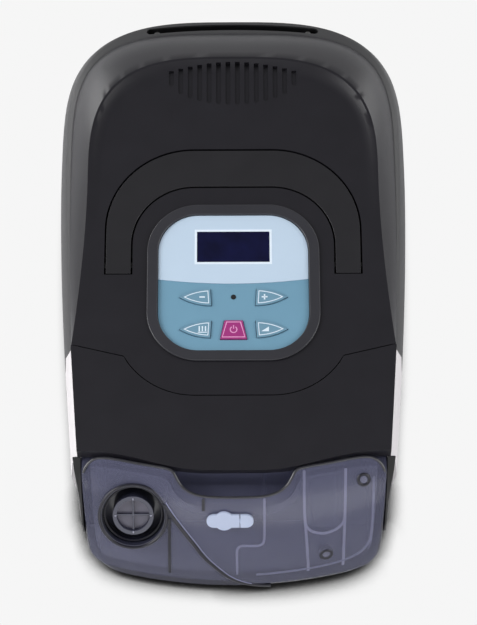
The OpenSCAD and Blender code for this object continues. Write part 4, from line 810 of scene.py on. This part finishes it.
def smoothPath(points, steps=8):
    found = []
    for i in range(len(points) - 1):
        o, a, b, n = points[max(i - 1, 0)], points[i], points[i + 1], points[min(i + 2, len(points) - 1)]
        for k in range(steps):
            t = k / steps
            found.append(tuple(0.5 * (2 * p + (q - w) * t + (2 * w - 5 * p + 4 * q - r) * t * t
                                      + (3 * p - w - 3 * q + r) * t ** 3) for w, p, q, r in zip(o, a, b, n)))
    return found + [tuple(points[-1])]


def flatSection(width, thick):
    return [(-width / 2, 0), (width / 2, 0), (width / 2, thick), (-width / 2, thick)]


def roundSection(radius, sides=10):
    return [(radius * math.cos(i * math.tau / sides), radius * math.sin(i * math.tau / sides)) for i in range(sides)]


chamberLines = [
    # name, path in x and z, width, depth under the front, finish
    ("leftRib", [(-34.7, 50), (-34.9, 40), (-35.1, 28), (-35.3, 14)], 1.5, 0, "darkSeamAndShade"),
    ("recessRib", [(-16.5, 61), (-16.5, 56.4)], 1.5, 0, "darkSeamAndShade"),
    # the middle wall and channel lines use the lighter smoke: painted light
    ("middleWall", smoothPath([(16.2, 61), (16.3, 52), (16.3, 42), (15.4, 38.4), (12.6, 37.2), (8, 37.4), (4, 37.4),
                               (1.8, 35.6), (1.3, 32), (1.4, 24), (1.4, 15)], 5), 1.3, -3, "smokeLitLine"),
    ("channelLeft", [(37.6, 68.6), (37.7, 60), (38, 52), (38.8, 44), (39.8, 32), (40.5, 20), (40.7, 13)],
     1.5, -3, "smokeLitLine"),
    ("channelRight", [(60.1, 67), (60.1, 56), (60, 44), (60, 32), (60.1, 20), (60.1, 12)], 1.5, -3, "smokeLitLine"),
    ("channelEnd", smoothPath([(38.6, 47.5), (40, 44.6), (43.2, 42), (49.2, 40.2), (55.2, 41.2), (58.6, 43.6),
                               (59.8, 46)], 5), 1.4, -3, "smokeLitLine"),
    # the tub corner line is drawn in the lighter smoke: painted light
    ("tubCorner", smoothPath([(75.4, 62), (75.4, 50), (75.2, 38), (74.2, 28), (70, 21), (61, 17), (48, 15.4), (36, 15),
                              (24, 14.6), (12, 14.2)], 5), 1.3, -3, "smokeLitWall"),
]


def makeChamberLines():
    edge = smoothPath(chamber["stepEdge"], 6)
    # the dark line along the step's edge is painted shade, standing in for the step's side wall in shadow
    seam = sweep("stepShadeLine", [(x - 0.2, z - 0.2) for x, z in edge], roundSection(1.05), depth=-0.45, sunk=0)
    onlySelect(seam)
    bpy.ops.object.shade_smooth()
    dress(seam, "darkSeamAndShade", "chamber")
    # the pale strip above the step's edge is a painted highlight where the step's top edge catches the light
    light = sweep("stepRidgeHighlight", [(x + 1.2, z + 0.8) for x, z in edge[:-9]], flatSection(0.45, 0.35), depth=-0.1, sunk=0)
    dress(light, "smokeLitWall", "chamber")
    half = smoothPath(chamber["edge"], 5)
    rimPath = [(x, chamberZ(x, machine["lipY"] + y)) for x, y in half if x < 81.2]
    rimPath = [(-x, z) for x, z in reversed(rimPath[1:])] + rimPath
    # the rim bead is dark glossy plastic; its dark colour also paints the shaded gap between the dock cover lip and
    # the chamber edge
    rim = sweep("topRim", rimPath, roundSection(0.8), depth=-0.2, sunk=0)
    onlySelect(rim)
    bpy.ops.object.shade_smooth()
    dress(rim, "rimDarkGapShade", "chamber")
    for name, path, width, depth, finish in chamberLines:
        piece = sweep(name, path, flatSection(width, 0.5), depth=depth)
        dress(piece, finish, "chamber")
    print("chamber lines done")


def closedSweep(name, rings):
    piece = ringLoft(name, rings + [rings[0]])
    onlySelect(piece)
    bpy.ops.object.mode_set(mode="EDIT")
    bpy.ops.mesh.select_all(action="DESELECT")
    bpy.ops.object.mode_set(mode="OBJECT")
    for face in piece.data.polygons:
        face.select = len(face.vertices) > 4
    bpy.ops.object.mode_set(mode="EDIT")
    bpy.ops.mesh.delete(type="ONLY_FACE")
    bpy.ops.mesh.select_all(action="SELECT")
    bpy.ops.mesh.remove_doubles(threshold=0.000005)
    bpy.ops.mesh.normals_make_consistent(inside=False)
    bpy.ops.object.mode_set(mode="OBJECT")
    bpy.ops.object.shade_smooth()
    return piece


def roundRing(name, radius, thick, high, sides):
    turns = [i * math.tau / sides for i in range(sides)]
    return closedSweep(name, [[((radius + a) * math.cos(turn), (radius + a) * math.sin(turn), high + b)
                               for a, b in roundSection(thick)] for turn in turns])


portDetail = {
    "discRadius": 8.7, "discLow": -3.4, "discHigh": -2.9, "sides": 96,
    "rings": [("portRing", 18.1, 0.85, 0.9), ("portInnerRing", 15.4, 0.5, -3)],  # name, radius, thickness, height
    "tickLow": (8.9, -0.35, -1.6), "tickHigh": (10, 0.35, 0.3),
    "spokeLow": (0.5, -0.14, -2.95), "spokeHigh": (8.2, 0.14, -2.8),
}


def makePortDetail():
    portTurn, sides = facing(chamber["portPlace"], chamber["portLean"]), portDetail["sides"]
    disc = rod("portDisc", portDetail["discRadius"], portDetail["discLow"], portDetail["discHigh"], sides)
    dress(turned(disc, portTurn), "portDisc", "chamber")
    for name, radius, thick, high in portDetail["rings"]:
        dress(turned(roundRing(name, radius, thick, high, sides), portTurn), "darkSeamAndShade", "chamber")
    for i in range(4):
        turn = portTurn @ Matrix.Rotation(i * math.pi / 2, 4, "Z")
        for name in ("tick", "spoke"):
            bar = box("port%s%d" % (name.capitalize(), i), portDetail[name + "Low"], portDetail[name + "High"])
            dress(turned(bar, turn), "lineGrey", "chamber")
    print("port detail done")


def makeBossRings():
    for name, x, z in chamber["bosses"]:
        out = frontNormal(x, z, 0.5)
        turn = Matrix.Translation((x, chamberY(x, z), z)) @ out.to_track_quat("Z", "Y").to_matrix().to_4x4()
        dress(turned(roundRing(name + "Ring", 3, 0.95, -0.45, 48), turn), "darkSeamAndShade", "chamber")
        dress(turned(rod(name + "Core", 1.9, -1.2, -0.2, 32), turn), "lineGrey", "chamber")
    print("boss rings done")


makeChamberShell()
makeChamberLines()
makePortDetail()
makeBossRings()

# ---- pieces that keep the solid's outline and get soft edges
softened = [
    # node, name, edge width, finish, body, slot
    ("handle", "carryHandle", 0.7, "handleBlack", "handle", "cover"),
    ("panel_bezel", "panelBezel", 0.8, "bezelGrey", "flow_generator", "bezel"),
    ("panel_plate", "panelPlate", 0.12, "panelBlue", "flow_generator", "panel_blue"),
    ("panel_film", "panelFilm", 0.12, "panelPale", "flow_generator", "panel_light"),
    ("display_window", "displayWindow", 0.15, "displayGlass", "flow_generator", "window"),
    ("rear_slot_liner", "rearSlotLiner", 0.2, "deepBlack", "flow_generator", "black"),
    ("dock_cover", "dockCover", 0.8, "coverBlack", "dock", "cover"),
    ("dock_side_shells", "dockSideShells", 0.6, "paleGrey", "dock", "side"),
    ("dock_base", "dockBase", 0.5, "deepBlack", "dock", "black"),
    ("outlet_port", "outletPort", 0.5, "portWall", "chamber", "smoke_dark"),
    ("fill_stopper", "fillStopper", 0.5, "stopperBlue", "stopper", "stopper"),
    ("stopper_anchor", "stopperAnchor", 0.5, "stopperBlue", "chamber", "stopper"),
    ("key_minus", "keyMinus", 0.35, "keyBlue", "key_minus", "key_blue"),
    ("key_plus", "keyPlus", 0.35, "keyBlue", "key_plus", "key_blue"),
    ("key_humidity", "keyHumidity", 0.35, "keyBlue", "key_humidity", "key_blue"),
    ("key_ramp", "keyRamp", 0.35, "keyBlue", "key_ramp", "key_blue"),
    ("key_power", "keyPower", 0.4, "keyPink", "key_power", "key_pink"),
    ("filter_cover", "filterCover", 0.3, "innerGrey", "filter_cover", "grey"),
    ("power_inlet", "powerInlet", 0.3, "deepBlack", "flow_generator", "black"),
    ("data_card", "dataCard", 0.25, "cardBlue", "data_card", "card"),
]
for node, name, width, finish, body, slot in softened:
    piece = copyOf(node, name)
    soften(piece, width)
    dress(piece, finish, body, [node])
print("softened pieces done")

# ---- signs on the keys, as thin raised strips
keySigns = {
    "length": 17, "height": 9.8, "fromMiddle": 12.4, "upperV": 27.5, "lowerV": 8.7, "top": 0.5,
    "outlineInset": 1.1, "outlineWidth": 0.45, "proud": 0.06,
    "displayHalf": 20, "displayLow": 48.4, "displayHigh": 66.6, "displayRim": 1.3,
}


def leafOutline(grow, slant):
    h = keySigns["height"]
    r = (keySigns["length"] ** 2 + (h / 2) ** 2) / h
    tip = -math.sqrt((r + grow) ** 2 - (r - h / 2) ** 2)
    centre = h / 2 - r

    def edgeX(y):
        return grow - slant * y / 12
    upper = []
    top = centre + math.sqrt((r + grow) ** 2 - edgeX(h / 2) ** 2)
    for i in range(25):
        x = mix(edgeX(top), tip, (i / 24) ** 0.8)
        upper.append((x, max(0, centre + math.sqrt(max(0, (r + grow) ** 2 - x * x)))))
    lower = []
    for i in range(1, 25):
        x = mix(tip, edgeX(-top), (i / 24) ** 1.25)
        lower.append((x, -max(0, centre + math.sqrt(max(0, (r + grow) ** 2 - x * x)))))
    return upper + lower


def powerOutline(grow):
    return [(-7.3 - grow, -5.5 - grow), (7.3 + grow, -5.5 - grow), (4.9 + grow, 5.5 + grow), (-4.9 - grow, 5.5 + grow)]


def displayOutline(grow):
    side, low, high = keySigns["displayHalf"] + grow, keySigns["displayLow"] - grow, keySigns["displayHigh"] + grow
    return [(-side, low), (side, low), (side, high), (-side, high)]


def strip(name, outer, inner, place, low, high):
    bpy.ops.mesh.primitive_circle_add(vertices=len(outer), radius=0.1, fill_type="NOTHING")
    piece = bpy.context.active_object
    piece.name = name
    numberPoints(piece, [(x, y, high) for x, y in outer])
    bpy.ops.object.mode_set(mode="EDIT")
    bpy.ops.mesh.select_all(action="SELECT")
    bpy.ops.mesh.extrude_edges_move()
    placeSelected(piece, [(x, y, high) for x, y in inner])
    bpy.ops.mesh.select_all(action="SELECT")
    bpy.ops.mesh.normals_make_consistent(inside=False)
    bpy.ops.object.mode_set(mode="OBJECT")
    if sum(face.normal.z for face in piece.data.polygons) < 0:
        piece.data.flip_normals()
    piece.data.attributes.remove(piece.data.attributes["seat"])
    thick = piece.modifiers.new("thick", "SOLIDIFY")
    thick.thickness = (high - low) * 0.001
    thick.offset = -1
    settle(piece)
    return turned(piece, place)


def makeSigns():
    top = keySigns["top"]
    inset, width, high = keySigns["outlineInset"], keySigns["outlineWidth"], top + keySigns["proud"]
    low = top - 0.1
    left, right = -keySigns["fromMiddle"], keySigns["fromMiddle"]
    for name, x, v, slant, body, flip in (
        ("minus", left, keySigns["upperV"], 0.8, "key_minus", False),
        ("plus", right, keySigns["upperV"], 0.8, "key_plus", True),
        ("humidity", left, keySigns["lowerV"], -0.8, "key_humidity", False),
        ("ramp", right, keySigns["lowerV"], -0.8, "key_ramp", True),
    ):
        place = deckFrame @ Matrix.Translation((x, v, 0))
        outer, inner = leafOutline(-inset, slant), leafOutline(-inset - width, slant)
        if flip:
            outer = [(-a, b) for a, b in reversed(outer)]
            inner = [(-a, b) for a, b in reversed(inner)]
        piece = strip(name + "Outline", outer, inner, place, low, high)
        dress(piece, "keyLine", body)
    place = deckFrame @ Matrix.Translation((0, keySigns["lowerV"] - 0.3, 0))
    piece = strip("powerOutline", powerOutline(-0.9), powerOutline(-1.4), place, low, high)
    dress(piece, "pinkLine", "key_power")

    def bar(name, x0, v0, x1, v1, body, finish="keyLine"):
        piece = turned(box(name, (x0, v0, low), (x1, v1, high)), deckFrame)
        dress(piece, finish, body)
    upper, lower = keySigns["upperV"], keySigns["lowerV"]
    bar("minusSign", left - 6.2, upper - 0.4, left - 3.2, upper + 0.4, "key_minus")
    bar("plusSign", right + 3, upper - 0.4, right + 6.2, upper + 0.4, "key_plus")
    bar("plusUpright", right + 4.2, upper - 1.6, right + 5, upper + 1.6, "key_plus")
    for i in range(3):
        bar("steam%d" % i, left - 6.6 + i * 1.7, lower - 1.3, left - 5.9 + i * 1.7, lower + 1.7, "key_humidity")
    bar("warmBar", left - 7, lower - 2.1, left - 2.1, lower - 1.6, "key_humidity")
    slope = [(right + 2.6, lower - 1.4), (right + 6.8, lower - 1.4), (right + 6.8, lower + 1.3)]
    wedge = turned(prism("rampSign", slope, low, high), deckFrame)
    dress(wedge, "keyLine", "key_ramp")
    turns = [math.radians(-235 + i * 290 / 28) for i in range(29)]
    arc = [(2.1 * math.cos(a), 2.1 * math.sin(a)) for a in turns]
    back = [(1.5 * math.cos(a), 1.5 * math.sin(a)) for a in reversed(turns)]
    symbol = turned(prism("powerSign", arc + back, low, high), place)
    dress(symbol, "pinkLine", "key_power")
    stem = turned(box("powerStem", (-0.3, 0.4, low), (0.3, 2.5, high)), place)
    dress(stem, "pinkLine", "key_power")
    frameLine = strip("displayRim", displayOutline(keySigns["displayRim"]), displayOutline(0), deckFrame, -0.1, 0.08)
    dress(frameLine, "panelLine", "flow_generator")
    print("signs done")


makeSigns()

# ---- finishes of the solids that stay as they are
kept = {
    "slot_screws": "steel", "unit_feet": "softFoot", "chassis": "innerGrey", "case_screws": "steel",
    "blower_base": "offWhite", "blower_lid": "offWhite", "blower_mounts": "orangeRubber",
    "motor_stator": "copper", "motor_bearings": "steel", "outlet_duct": "innerGrey", "muffler_box": "innerGrey",
    "filter_frame": "innerGrey", "air_filter": "fibre", "power_supply": "board", "main_board": "board",
    "card_socket": "bareMetal", "dock_socket": "deepBlack", "handle_pins": "deepBlack", "display_module": "innerGrey",
    "status_lens": "deepBlack", "key_mat": "silicone", "key_board": "board", "impeller": "offWhite",
    "motor_shaft": "steel", "heater_plate": "bareMetal", "heater_insulator": "heatPad", "dock_duct": "innerGrey",
    "dock_plug": "gold", "dock_feet": "softFoot", "chamber_plate": "bareMetal",
    # the inner channel and partition take the lighter smoke: painted light
    "inlet_channel": "smokeLitRib", "chamber_bosses": "darkSeamAndShade", "chamber_partition": "smokeLitRib",
}
for node, finish in kept.items():
    paint(node, finish)
print("kept solids painted")
